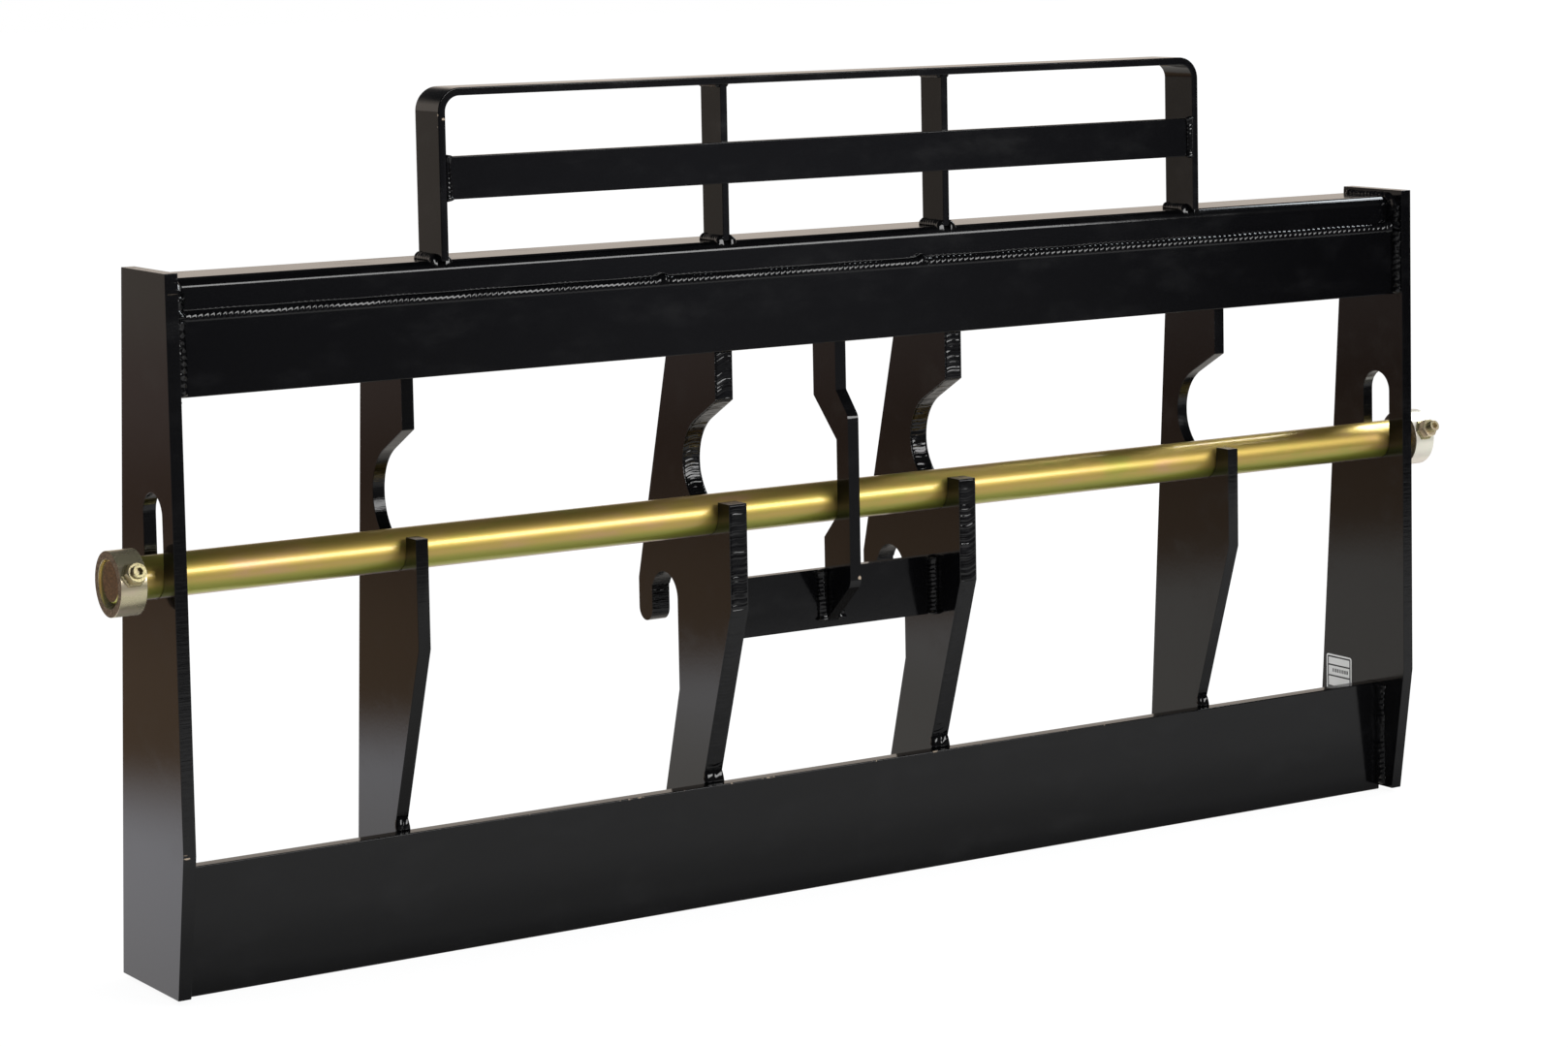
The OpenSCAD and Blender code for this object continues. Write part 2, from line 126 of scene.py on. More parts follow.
class Graph:
    """Builds the shader nodes of one material or world."""

    def __init__(self, owner: Union[bpy.types.Material, bpy.types.World]) -> None:
        """Empties the owner's node tree.

        Args:
            owner: The material or world whose nodes are built.
        """
        owner.use_nodes = True
        self.tree = owner.node_tree
        self.tree.nodes.clear()

    def node(self, kind: str, feeds: dict[Union[str, int], Feed] | None = None,
             **settings: object) -> bpy.types.Node:
        """Adds one node.

        Args:
            kind: Blender's name of the node type.
            feeds: Values or sockets for the node's inputs, by input name or number.
            settings: Properties that are set on the node itself.

        Returns:
            The new node.
        """
        made = self.tree.nodes.new(kind)
        for key, value in settings.items():
            setattr(made, key, value)
        for key, value in (feeds or {}).items():
            self.feed(made.inputs[key], value)
        return made

    def feed(self, socket: Socket, value: Feed) -> None:
        """Links a socket into an input, or sets the input's own value.

        Args:
            socket: The input.
            value: What it takes.
        """
        if isinstance(value, bpy.types.NodeSocket):
            self.tree.links.new(value, socket)
        elif isinstance(value, (int, float)):
            socket.default_value = value
        else:
            filled = tuple(value)
            if len(socket.default_value) == 4 and len(filled) == 3:
                filled += (1.0,)
            socket.default_value = filled

    def math(self, operation: str, *values: Feed, clamp: bool = False) -> Socket:
        """Adds a Math node.

        Args:
            operation: The node's operation.
            values: Its inputs in order.
            clamp: Whether the result is held between 0 and 1.

        Returns:
            The result's socket.
        """
        made = self.node("ShaderNodeMath", operation=operation, use_clamp=clamp)
        for socket, value in zip(made.inputs, values):
            self.feed(socket, value)
        return made.outputs[0]

    def mix(self, share: Feed, low: Feed, high: Feed) -> Socket:
        """Mixes two colours.

        Args:
            share: The second colour's share, from 0 to 1.
            low: The first colour.
            high: The second colour.

        Returns:
            The mixed colour's socket.
        """
        made = self.node("ShaderNodeMix", {0: share, 6: low, 7: high}, data_type="RGBA")
        return made.outputs[2]

    def ramp(self, share: Feed, stops: Stops) -> Socket:
        """Adds a colour ramp that eases between its stops.

        Args:
            share: What the ramp reads.
            stops: Pairs of place and colour, in rising order.

        Returns:
            The colour's socket.
        """
        made = self.node("ShaderNodeValToRGB", {"Fac": share})
        bar = made.color_ramp
        bar.interpolation = "EASE"
        while len(bar.elements) < len(stops):
            bar.elements.new(0.5)
        for element, (place, colour) in zip(bar.elements, stops):
            element.position = place
            element.color = (*colour, 1.0)
        return made.outputs["Color"]

    def span(self, value: Feed, low: float, high: float) -> Socket:
        """Maps a value smoothly to 0 at one end of a range and to 1 at the other.

        Args:
            value: The value that is read.
            low: Where the result is 0.
            high: Where the result is 1.

        Returns:
            The result's socket, held between 0 and 1.
        """
        made = self.node("ShaderNodeMapRange", {0: value, 1: low, 2: high}, interpolation_type="SMOOTHSTEP")
        return made.outputs[0]

    def place(self, scale: Point = (1, 1, 1), offset: Point = (0, 0, 0)) -> Socket:
        """Reads where a spot is on its own piece.

        Args:
            scale: What the metres along each axis are multiplied by.
            offset: What is added after that.

        Returns:
            The scaled place's socket.
        """
        here = self.node("ShaderNodeTexCoord").outputs["Object"]
        made = self.node("ShaderNodeMapping", {"Vector": here, "Scale": scale, "Location": offset})
        return made.outputs[0]

    def noise(self, grain: Grain) -> Socket:
        """Adds a noise pattern.

        Args:
            grain: How the pattern is divided and stretched.

        Returns:
            The socket of its value, between 0 and 1.
        """
        made = self.node("ShaderNodeTexNoise", {"Vector": self.place(grain.stretch), "Scale": grain.fine,
                                                "Detail": grain.detail, "Roughness": grain.rough})
        return made.outputs[0]

    def axes(self, vector: Socket) -> tuple[Socket, Socket, Socket]:
        """The three parts of a vector."""
        made = self.node("ShaderNodeSeparateXYZ", {"Vector": vector})
        return made.outputs[0], made.outputs[1], made.outputs[2]

    def facing(self) -> tuple[Socket, Socket, Socket]:
        """The three parts of the direction in which the surface faces, on the piece itself."""
        return self.axes(self.node("ShaderNodeTexCoord").outputs["Normal"])

    def bump(self, height: Feed, strength: float, distance: float, under: Socket | None = None) -> Socket:
        """Adds a bump.

        Args:
            height: The height that is read.
            strength: Share of the effect.
            distance: Height in metres.
            under: The normal of another bump below this one.

        Returns:
            The normal's socket.
        """
        made = self.node("ShaderNodeBump", {"Height": height, "Strength": strength, "Distance": distance})
        if under is not None:
            self.feed(made.inputs["Normal"], under)
        return made.outputs[0]

    def surface(self, shader: bpy.types.Node, target: str = "ShaderNodeOutputMaterial") -> None:
        """Links the finished shader to the output."""
        self.tree.links.new(shader.outputs[0], self.node(target).inputs["Surface"])


@dataclass(frozen=True)
class Chip:
    """A spot where the paint is knocked off.

    Attributes:
        place: Its middle.
        reach: How far it goes from there along X, Y and Z.
        strength: How fully the spot is bare.
        sparse: Whether it is broken up into scattered specks.
    """

    place: Point
    reach: Point
    strength: float = 1.0
    sparse: bool = False


@dataclass(frozen=True)
class GlossPaint:
    """Gloss black paint over plate steel.

    Attributes:
        name: The material's name.
        colour: The clean paint.
        haze: The paint where dust dulls it.
        roughness: Roughness of the clean paint.
        haze_rough: Roughness that the dust adds.
        ior: How strongly the paint mirrors.
        cloud: Pattern of the dust.
        dusty: Values of that pattern at which dust sets in and is full.
        peel: Strength of the orange peel.
        peel_grain: Pattern of the orange peel.
        peel_high: Height of the orange peel.
        cut_marks: Strength of the ridges on cut edges; 0 leaves them off.
        cut_grain: Pattern of the ridges, drawn out across the plate.
        cut_high: Height of the ridges.
        cut_facing: How far a face turns to X where the ridges end and where they are full.
        chips: Spots where the paint is knocked off.
        bare: Colour of the primer in a chip.
        chip_rough: Roughness that a chip adds.
        chip_grain: Pattern of the chips' ragged rims.
        ragged: How strongly that pattern shapes the rims.
        chip_rim: Distance from a chip's middle at which it ends and at which it is full, in reaches.
        speck_grain: Pattern that breaks up sparse chips.
        speck: Values of that pattern at which specks start and are full.
    """

    name: str
    colour: Colour = (0.0014, 0.0014, 0.0017)
    haze: Colour = (0.0042, 0.0042, 0.0046)
    roughness: float = 0.10
    haze_rough: float = 0.10
    ior: float = 1.52
    cloud: Grain = Grain(9, 5, 0.62, (1, 1.6, 2.2))
    dusty: Band = (0.48, 0.78)
    peel: float = 0.16
    peel_grain: Grain = Grain(260)
    peel_high: float = 0.0002
    cut_marks: float = 0.0
    cut_grain: Grain = Grain(330, 3, 0.65, (0.06, 1, 1))
    cut_high: float = 0.0007
    cut_facing: Band = (0.30, 0.12)
    chips: tuple[Chip, ...] = ()
    bare: Colour = (0.36, 0.28, 0.20)
    chip_rough: float = 0.4
    chip_grain: Grain = Grain(700, 3, 0.6)
    ragged: float = 1.1
    chip_rim: Band = (1.35, 1.10)
    speck_grain: Grain = Grain(55, 4, 0.7, (1, 0.2, 0.2))
    speck: Band = (0.60, 0.66)

    def build(self) -> bpy.types.Material:
        """Makes the material with haze, orange peel, cut marks on the edges and chips.

        Returns:
            The new material.
        """
        material = bpy.data.materials.new(self.name)
        g = Graph(material)
        dust = g.span(g.noise(self.cloud), *self.dusty)
        colour = g.mix(dust, self.colour, self.haze)
        rough = g.math("ADD", g.math("MULTIPLY", dust, self.haze_rough), self.roughness)
        normal = g.bump(g.noise(self.peel_grain), self.peel, self.peel_high)
        if self.cut_marks:
            normal = self._cut_marks(g, normal)
        if self.chips:
            colour, rough = self._chips(g, colour, rough)
        g.surface(g.node("ShaderNodeBsdfPrincipled", {"Base Color": colour, "Roughness": rough,
                                                      "IOR": self.ior, "Normal": normal}))
        return material

    def _cut_marks(self, g: Graph, under: Socket) -> Socket:
        """Fine ridges across the cut edges of a plate.

        Args:
            g: The material's nodes.
            under: The normal below the ridges.

        Returns:
            The normal with the ridges.
        """
        edge = g.span(g.math("ABSOLUTE", g.facing()[0]), *self.cut_facing)
        height = g.math("MULTIPLY", edge, g.noise(self.cut_grain))
        return g.bump(height, self.cut_marks, self.cut_high, under)

    def _chips(self, g: Graph, colour: Socket, rough: Socket) -> tuple[Socket, Socket]:
        """Spots of bare primer at given places.

        Args:
            g: The material's nodes.
            colour: The paint's colour.
            rough: The paint's roughness.

        Returns:
            The colour and the roughness with the spots in them.
        """
        rims = g.math("MULTIPLY", g.noise(self.chip_grain), self.ragged)
        for chip in self.chips:
            scale = tuple(1 / reach for reach in chip.reach)
            offset = tuple(-at / reach for at, reach in zip(chip.place, chip.reach))
            away = g.node("ShaderNodeVectorMath", {0: g.place(scale, offset)}, operation="LENGTH")
            worn = g.math("ADD", away.outputs[1], rims)
            spot = g.math("MULTIPLY", g.span(worn, *self.chip_rim), chip.strength)
            if chip.sparse:
                spot = g.math("MULTIPLY", spot, g.span(g.noise(self.speck_grain), *self.speck))
            colour = g.mix(spot, colour, self.bare)
            rough = g.math("ADD", rough, g.math("MULTIPLY", spot, self.chip_rough))
        return colour, rough


@dataclass(frozen=True)
class ZincPlate:
    """Bright or yellow passivated zinc on turned steel.

    Attributes:
        name: The material's name.
        tints: The three tints between which the plating drifts.
        end_colour: Colour of the end faces.
        roughness: Roughness of the round faces.
        end_roughness: Roughness of the end faces.
        metal: How metallic it is.
        coat: Weight of the clear film on it.
        coat_rough: Roughness of that film.
        under: Painted reflection on the underside, if it has one, standing in for the darker ground
            mirrored there.
        rim: Painted reflection on the lowest line of such an underside, standing in for the bright floor
            mirrored there.
        drift: Pattern of the tints.
        tint_at: Values of that pattern at which each tint is full.
        drift_rough: Roughness that the pattern adds from its low to its high values.
        under_from: Upward part of the normal at which the underside's painted reflection sets in and is
            full.
        rim_from: The same for the painted reflection on the lowest line.
        end_from: Sideways part of the normal at which an end face sets in and is full.
        speck: Pattern of the end faces' specks.
        speck_from: Values of that pattern from dark to clean.
        dark: Share of the end colour in a speck.
        speck_bump: Strength and height of the specks.
        turning: Pattern of the turning marks.
        turning_bump: Strength and height of the turning marks.
    """

    name: str
    tints: tuple[Colour, Colour, Colour]
    end_colour: Colour
    roughness: float = 0.22
    end_roughness: float = 0.5
    metal: float = 1.0
    coat: float = 0.0
    coat_rough: float = 0.14
    under: Colour | None = None
    rim: Colour = (0.95, 0.74, 0.62)
    drift: Grain = Grain(7.5, 5, 0.6, (1, 3.0, 3.0))
    tint_at: Point = (0.30, 0.50, 0.72)
    drift_rough: float = 0.10
    under_from: Band = (-0.15, -0.60)
    rim_from: Band = (-0.84, -0.95)
    end_from: Band = (0.80, 0.95)
    speck: Grain = Grain(420, 4, 0.7)
    speck_from: Band = (0.42, 0.66)
    dark: float = 0.35
    speck_bump: Band = (0.5, 0.0006)
    turning: Grain = Grain(900, 2, 0.5, (1, 0.05, 0.05))
    turning_bump: Band = (0.04, 0.0002)

    def build(self) -> bpy.types.Material:
        """Makes the material: drifting tints, a painted underside reflection, turning marks and duller end
        faces.

        Returns:
            The new material.
        """
        material = bpy.data.materials.new(self.name)
        g = Graph(material)
        drift = g.noise(self.drift)
        facing, _, upward = g.facing()
        colour = g.ramp(drift, tuple(zip(self.tint_at, self.tints)))
        # Painted reflection: a face that points down takes a tint for the ground mirrored there, and its
        # lowest line one for the bright floor.
        if self.under is not None:
            colour = g.mix(g.span(upward, *self.under_from), colour, self.under)
            colour = g.mix(g.span(upward, *self.rim_from), colour, self.rim)
        end = g.span(g.math("ABSOLUTE", facing), *self.end_from)
        speck = g.noise(self.speck)
        face = g.mix(g.span(speck, *self.speck_from), shade(self.end_colour, self.dark), self.end_colour)
        colour = g.mix(end, colour, face)
        drifting = g.math("MULTIPLY", drift, self.drift_rough)
        rough = g.math("ADD", drifting, self.roughness - self.drift_rough / 2)
        rough = g.math("ADD", rough, g.math("MULTIPLY", end, self.end_roughness - self.roughness))
        normal = g.bump(g.noise(self.turning), *self.turning_bump)
        normal = g.bump(g.math("MULTIPLY", end, speck), *self.speck_bump, normal)
        g.surface(g.node("ShaderNodeBsdfPrincipled", {"Base Color": colour, "Roughness": rough,
                                                      "Metallic": self.metal, "Normal": normal,
                                                      "Coat Weight": self.coat,
                                                      "Coat Roughness": self.coat_rough}))
        return material


@dataclass(frozen=True)
class LabelStock:
    """Paper or ink of the label, with a faint mottle.

    Attributes:
        name: The material's name.
        low: Its colour where the mottle is low.
        high: Its colour where the mottle is high.
        mottle: Pattern of the mottle.
        roughness: Its roughness.
    """

    name: str
    low: Colour
    high: Colour
    mottle: Grain
    roughness: float

    def build(self) -> bpy.types.Material:
        """Makes the material.

        Returns:
            The new material.
        """
        material = bpy.data.materials.new(self.name)
        g = Graph(material)
        colour = g.mix(g.noise(self.mottle), self.low, self.high)
        g.surface(g.node("ShaderNodeBsdfPrincipled", {"Base Color": colour, "Roughness": self.roughness}))
        return material


@dataclass(frozen=True)
class Station:
    """A place along a weld: the inner corner and the two legs that leave it."""

    corner: Point
    leg_a: Point
    leg_b: Point


def straight(start: Point, end: Point, leg_a: Point, leg_b: Point) -> list[Station]:
    """The two ends of a straight run whose legs stay the same."""
    return [Station(start, leg_a, leg_b), Station(end, leg_a, leg_b)]


@dataclass(frozen=True)
class Blob:
    """A place where a weld swells, such as its start or stop.

    Attributes:
        at: Its place as a share of the run.
        swell: How much it swells, as a share of the legs.
        reach: How far it goes along the run.
    """

    at: float
    swell: float = 0.35
    reach: float = 4 * MM


def skin_rings(mesh: bmesh.types.BMesh, rings: Sequence[Ring]) -> None:
    """Joins each ring of points to the next with faces, all the way round.

    Args:
        mesh: The mesh that takes the faces.
        rings: Rings with the same number of points, in order.
    """
    for one, two in zip(rings, rings[1:]):
        for k in range(len(one)):
            n = (k + 1) % len(one)
            mesh.faces.new((one[k], one[n], two[n], two[k]))


def close_ends(mesh: bmesh.types.BMesh, rings: Sequence[Ring]) -> None:
    """Caps the first and the last ring."""
    mesh.faces.new(rings[0][::-1])
    mesh.faces.new(rings[-1])


def at_rings(values: np.ndarray, along: np.ndarray, run: np.ndarray) -> np.ndarray:
    """Reads vectors that are given at the stations of a run at each of its rings.

    Args:
        values: One vector for each station.
        along: Distance of each ring from the start.
        run: Distance of each station from the start.

    Returns:
        One vector for each ring.
    """
    return np.stack([np.interp(along, run, values[:, k]) for k in range(3)], axis=1)


@dataclass
class Bead:
    """A rippled weld run that follows its stations.

    Attributes:
        stations: Where it goes.
        seed: Seed of its random draws.
        pitch: Distance between ripples.
        ripple: Height of the ripples.
        power: How full its section is; 2 is an ellipse.
        slant: How far a ripple runs along while it crosses the run, in pitches.
        nose: Length of each rounded end.
        blobs: Where it swells.
        around: Points across the skin.
        per_pitch: Rings in a pitch.
        closed: Whether it runs round and meets itself.
        wave: How unevenly wide it is, as a share of the legs.
        wave_pitches: Pitches between two draws of that width.
        lump: Height of the random lumps.
        lump_cell: Distance between lumps along the run.
        lump_lanes: Lumps across the run.
        drift: How unevenly the ripples follow each other, in pitches a ring.
        swing: Mean and swing of the ripples' heights from one to the next.
        swing_step: Angle that spreads the swing over the ripples.
        toe: Share of the height that is left at the toes.
        toe_rise: How steeply the height grows from there.
        tuck: How far the hidden back edge sinks into the corner, as a share of the legs.
        fewest: Fewest rings of a run.
    """

    stations: Sequence[Station]
    seed: int
    pitch: float = 5.5 * MM
    ripple: float = 0.45 * MM
    power: float = 2.3
    slant: float = 0.5
    nose: float = 3.5 * MM
    blobs: tuple[Blob, ...] = ()
    around: int = 11
    per_pitch: int = 6
    closed: bool = False
    wave: float = 0.05
    wave_pitches: float = 1.7
    lump: float = 0.12 * MM
    lump_cell: float = 2.6 * MM
    lump_lanes: int = 6
    drift: float = 0.012
    swing: Band = (0.95, 0.45)
    swing_step: float = 12.9898
    toe: float = 0.55
    toe_rise: float = 1.6
    tuck: float = 0.04
    fewest: int = 16

    def build(self, mesh: bmesh.types.BMesh) -> None:
        """Adds the run to a mesh as one closed skin.

        Args:
            mesh: The mesh that takes it.
        """
        corners = np.array([station.corner for station in self.stations], float)
        legs_a = np.array([station.leg_a for station in self.stations], float)
        legs_b = np.array([station.leg_b for station in self.stations], float)
        steps = np.linalg.norm(np.diff(corners, axis=0), axis=1)
        run = np.concatenate([[0.0], np.cumsum(steps)])
        length = float(run[-1])
        count = max(self.fewest, int(length / self.pitch * self.per_pitch))
        along = np.linspace(0, length, count + 1)
        corner, leg_a, leg_b = (at_rings(values, along, run) for values in (corners, legs_a, legs_b))
        random = np.random.default_rng(self.seed)
        size = self._size(along, length, random)
        share = np.linspace(0, 1, self.around)
        turn = share * math.pi / 2
        section = np.clip(np.stack([np.cos(turn), np.sin(turn)]), 0, 1) ** (2 / self.power)
        height = self._ripples(along, share, random)
        mean_leg = (np.linalg.norm(leg_a, axis=1) + np.linalg.norm(leg_b, axis=1)) / 2
        rings = []
        for i in range(count + 1):
            lift = size[i] * (1 + height[i] / mean_leg[i])
            on_a, on_b = (section[0] * lift)[:, None], (section[1] * lift)[:, None]
            points = corner[i] + on_a * leg_a[i] + on_b * leg_b[i]
            back = corner[i] - self.tuck * (leg_a[i] + leg_b[i]) * size[i]
            rings.append([mesh.verts.new(point) for point in [back, *points]])
        skin_rings(mesh, rings)
        close_ends(mesh, rings)

    def _size(self, along: np.ndarray, length: float, random: np.random.Generator) -> np.ndarray:
        """Leg size at every ring: wavy toes, rounded ends and swollen places.

        Args:
            along: Distance of each ring from the start.
            length: Length of the run.
            random: Source of the random draws.

        Returns:
            One share of the legs for each ring.
        """
        knots = max(3, int(length / (self.pitch * self.wave_pitches)))
        size = 1 + np.interp(along, np.linspace(0, length, knots), random.normal(0, self.wave, knots))
        for blob in self.blobs:
            away = (along - blob.at * length) / blob.reach
            size = size + blob.swell * np.exp(-away * away)
        if self.closed:
            return size
        near = np.minimum(along, length - along) / self.nose
        return size * np.sqrt(np.clip(1 - np.clip(1 - near, 0, 1) ** 2, 0.01, 1))

    def _ripples(self, along: np.ndarray, share: np.ndarray, random: np.random.Generator) -> np.ndarray:
        """Height of the ripples and lumps over the skin.

        Args:
            along: Distance of each ring from the start.
            share: Place of each point across the run, from toe to toe.
            random: Source of the random draws.

        Returns:
            A height for each ring and point.
        """
        drift = np.cumsum(random.normal(0, self.drift, len(along)))
        phase = along[:, None] / self.pitch + drift[:, None] - self.slant * share[None, :]
        which = np.floor(phase).astype(int)
        mean, swing = self.swing
        vary = mean + swing * np.sin(which * self.swing_step + self.seed)
        shape = 1 - (2 * (phase % 1.0) - 1) ** 2
        fade = np.clip(np.sin(np.pi * share) * self.toe_rise, self.toe, 1)
        cells = random.normal(0, 1, (max(4, int(along[-1] / self.lump_cell)), self.lump_lanes))
        rows = np.linspace(0, len(cells) - 1, len(along))
        low = np.clip(np.floor(rows).astype(int), 0, len(cells) - 2)
        part = (rows - low)[:, None]
        across = cells[low] * (1 - part) + cells[low + 1] * part
        lanes = np.linspace(0, 1, self.lump_lanes)
        lumps = np.stack([np.interp(share, lanes, line) for line in across])
        return (self.ripple * shape * vary + self.lump * lumps) * fade[None, :]


def finish_piece(mesh: bmesh.types.BMesh, name: str, material: bpy.types.Material, body: Body,
                 smooth: bool = True) -> bpy.types.Object:
    """Turns a mesh into a piece that rides on a body.

    Args:
        mesh: The finished mesh.
        name: The piece's name.
        material: Its finish.
        body: The body that it moves with.
        smooth: Whether it is shaded smooth.

    Returns:
        The new piece.
    """
    bmesh.ops.recalc_face_normals(mesh, faces=mesh.faces)
    data = bpy.data.meshes.new(name)
    mesh.to_mesh(data)
    mesh.free()
    data.materials.append(material)
    for face in data.polygons:
        face.use_smooth = smooth
    piece = bpy.data.objects.new(name, data)
    bpy.context.scene.collection.objects.link(piece)
    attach(piece, body.value)
    LOG.info("built %s with %d faces", name, len(data.polygons))
    return piece


def dress_node(node: bpy.types.Object, finish: bpy.types.Material, width: float, segments: int = 3) -> None:
    """Gives a CAD node its finish and rounds its sharp edges with modifiers; its own mesh stays as it is.

    Args:
        node: The node's object.
        finish: Its finish.
        width: Width of the rounding in metres.
        segments: Faces across the rounding.
    """
    node.data.materials.clear()
    node.data.materials.append(finish)
    for face in node.data.polygons:
        face.use_smooth = True
    weld = node.modifiers.new("joined_points", "WELD")
    weld.merge_threshold = JOINED_WITHIN
    round_off = node.modifiers.new("rounded_edges", "BEVEL")
    round_off.width = width
    round_off.segments = segments
    round_off.limit_method = "ANGLE"
    round_off.angle_limit = EDGE_FROM
    round_off.use_clamp_overlap = True
    round_off.miter_outer = "MITER_ARC"
    even = node.modifiers.new("even_normals", "WEIGHTED_NORMAL")
    even.keep_sharp = False
    LOG.info("dressed %s", node.name)


@dataclass
class SteelFrame:
    """The welded plates, tube, bars and guard, dressed in gloss paint.

    Attributes:
        plate_edge: Rounding of the cut plates' and the tube's edges.
        bar_edge: Rounding of the rolled bars' edges.
        bars: The nodes that are rolled bar.
        marks: Strength of the plates' cut marks.
        thick_marks: The same on the thick inner plates.
        guard_chips: Chips on the guard's lower left corner.
        left_end_chips: Chips and scratches on the left end plate's front edge.
        strap_chips: The chip on the strap's foot.
        rail_chips: The worn line on the lower rail's top edge.
    """

    plate_edge: float = 0.7 * MM
    bar_edge: float = 1.2 * MM
    bars: tuple[str, ...] = ("face_plate", "lower_rail", "guard_frame", "guard_upright_left",
                             "guard_upright_right", "guard_rung", "cross_bar")
    marks: float = 0.35
    thick_marks: float = 0.9
    guard_chips: tuple[Chip, ...] = (
        Chip((-553.4 * MM, -39.5 * MM, 999.1 * MM), (2.4 * MM, 2.0 * MM, 2.4 * MM)),
        Chip((-560 * MM, -38.2 * MM, 1004 * MM), (1.6 * MM, 1.5 * MM, 2.2 * MM), 0.8),
        Chip((-560 * MM, -37.0 * MM, 990 * MM), (1.5 * MM, 1.2 * MM, 1.5 * MM), 0.35))
    left_end_chips: tuple[Chip, ...] = (
        Chip((-910 * MM, -55.8 * MM, 175.6 * MM), (6.0 * MM, 4.0 * MM, 1.5 * MM)),
        Chip((-912 * MM, -56.0 * MM, 180.0 * MM), (3.5 * MM, 3.0 * MM, 1.0 * MM), 0.35),
        Chip((-906 * MM, -56.0 * MM, 818 * MM), (8.5 * MM, 3.0 * MM, 0.7 * MM), 0.12),
        Chip((-914.5 * MM, -56.0 * MM, 500 * MM), (1.5 * MM, 1.5 * MM, 320 * MM), 0.5, True))
    strap_chips: tuple[Chip, ...] = (Chip((6.2 * MM, -53 * MM, 400 * MM), (4.0 * MM, 3.0 * MM, 3.4 * MM)),)
    rail_chips: tuple[Chip, ...] = (
        Chip((0, -1 * MM, 151.5 * MM), (900 * MM, 2.0 * MM, 2.0 * MM), 0.8, True),)

    def dress(self, nodes: dict[str, bpy.types.Object]) -> None:
        """Gives every painted node its finish.

        Args:
            nodes: The CAD nodes by name.
        """
        for finish, names in self._finishes():
            material = finish.build()
            for name in names:
                dress_node(nodes[name], material, self.bar_edge if name in self.bars else self.plate_edge)

    def _finishes(self) -> list[tuple[GlossPaint, tuple[str, ...]]]:
        """Which finish each painted node takes.

        Returns:
            Each finish with the names of its nodes.
        """
        return [
            (GlossPaint("gloss_black"), ("cross_bar", "top_tube", "face_plate", "guard_upright_left",
                                         "guard_upright_right", "guard_rung")),
            (GlossPaint("gloss_black_guard", chips=self.guard_chips), ("guard_frame",)),
            (GlossPaint("gloss_black_left_end", cut_marks=self.marks, chips=self.left_end_chips),
             ("end_plate_left",)),
            (GlossPaint("gloss_black_retainer", chips=self.strap_chips), ("shaft_retainer",)),
            (GlossPaint("gloss_black_rail", chips=self.rail_chips), ("lower_rail",)),
            (GlossPaint("gloss_black_cut_plate", cut_marks=self.marks),
             ("end_plate_right", "outer_plate_right")),
            # Painted shade: the left outer plate takes a darker, less mirroring copy of the gloss paint.
            (GlossPaint("gloss_black_painted_shade_plate", grey(0.0006), grey(0.0012), cut_marks=self.marks,
                        ior=1.47), ("outer_plate_left",)),
            (GlossPaint("gloss_black_rough_cut", cut_marks=self.thick_marks),
             ("inner_plate_left", "inner_plate_right")),
        ]


@dataclass(frozen=True)
class LongRun:
    """One length of the run on the face plate.

    Attributes:
        start: Where it starts along the width.
        end: Where it ends.
        pitch: Distance between its ripples.
        ripple: Height of its ripples.
    """

    start: float
    end: float
    pitch: float
    ripple: float


@dataclass(frozen=True)
class EndRun:
    """How the upright runs at one end of the face plate and the tube are laid.

    Attributes:
        low_in: Leg on the face plate.
        low_out: Leg on the end plate beside it.
        high_in: Leg on the tube.
        high_out: Leg on the end plate beside it.
        low_ripple: Height of the ripples beside the face plate.
        low_lump: Height of the lumps there.
        high_ripple: Height of the ripples beside the tube.
        high_lump: Height of the lumps there.
    """

    low_in: float
    low_out: float
    high_in: float
    high_out: float
    low_ripple: float
    low_lump: float
    high_ripple: float
    high_lump: float


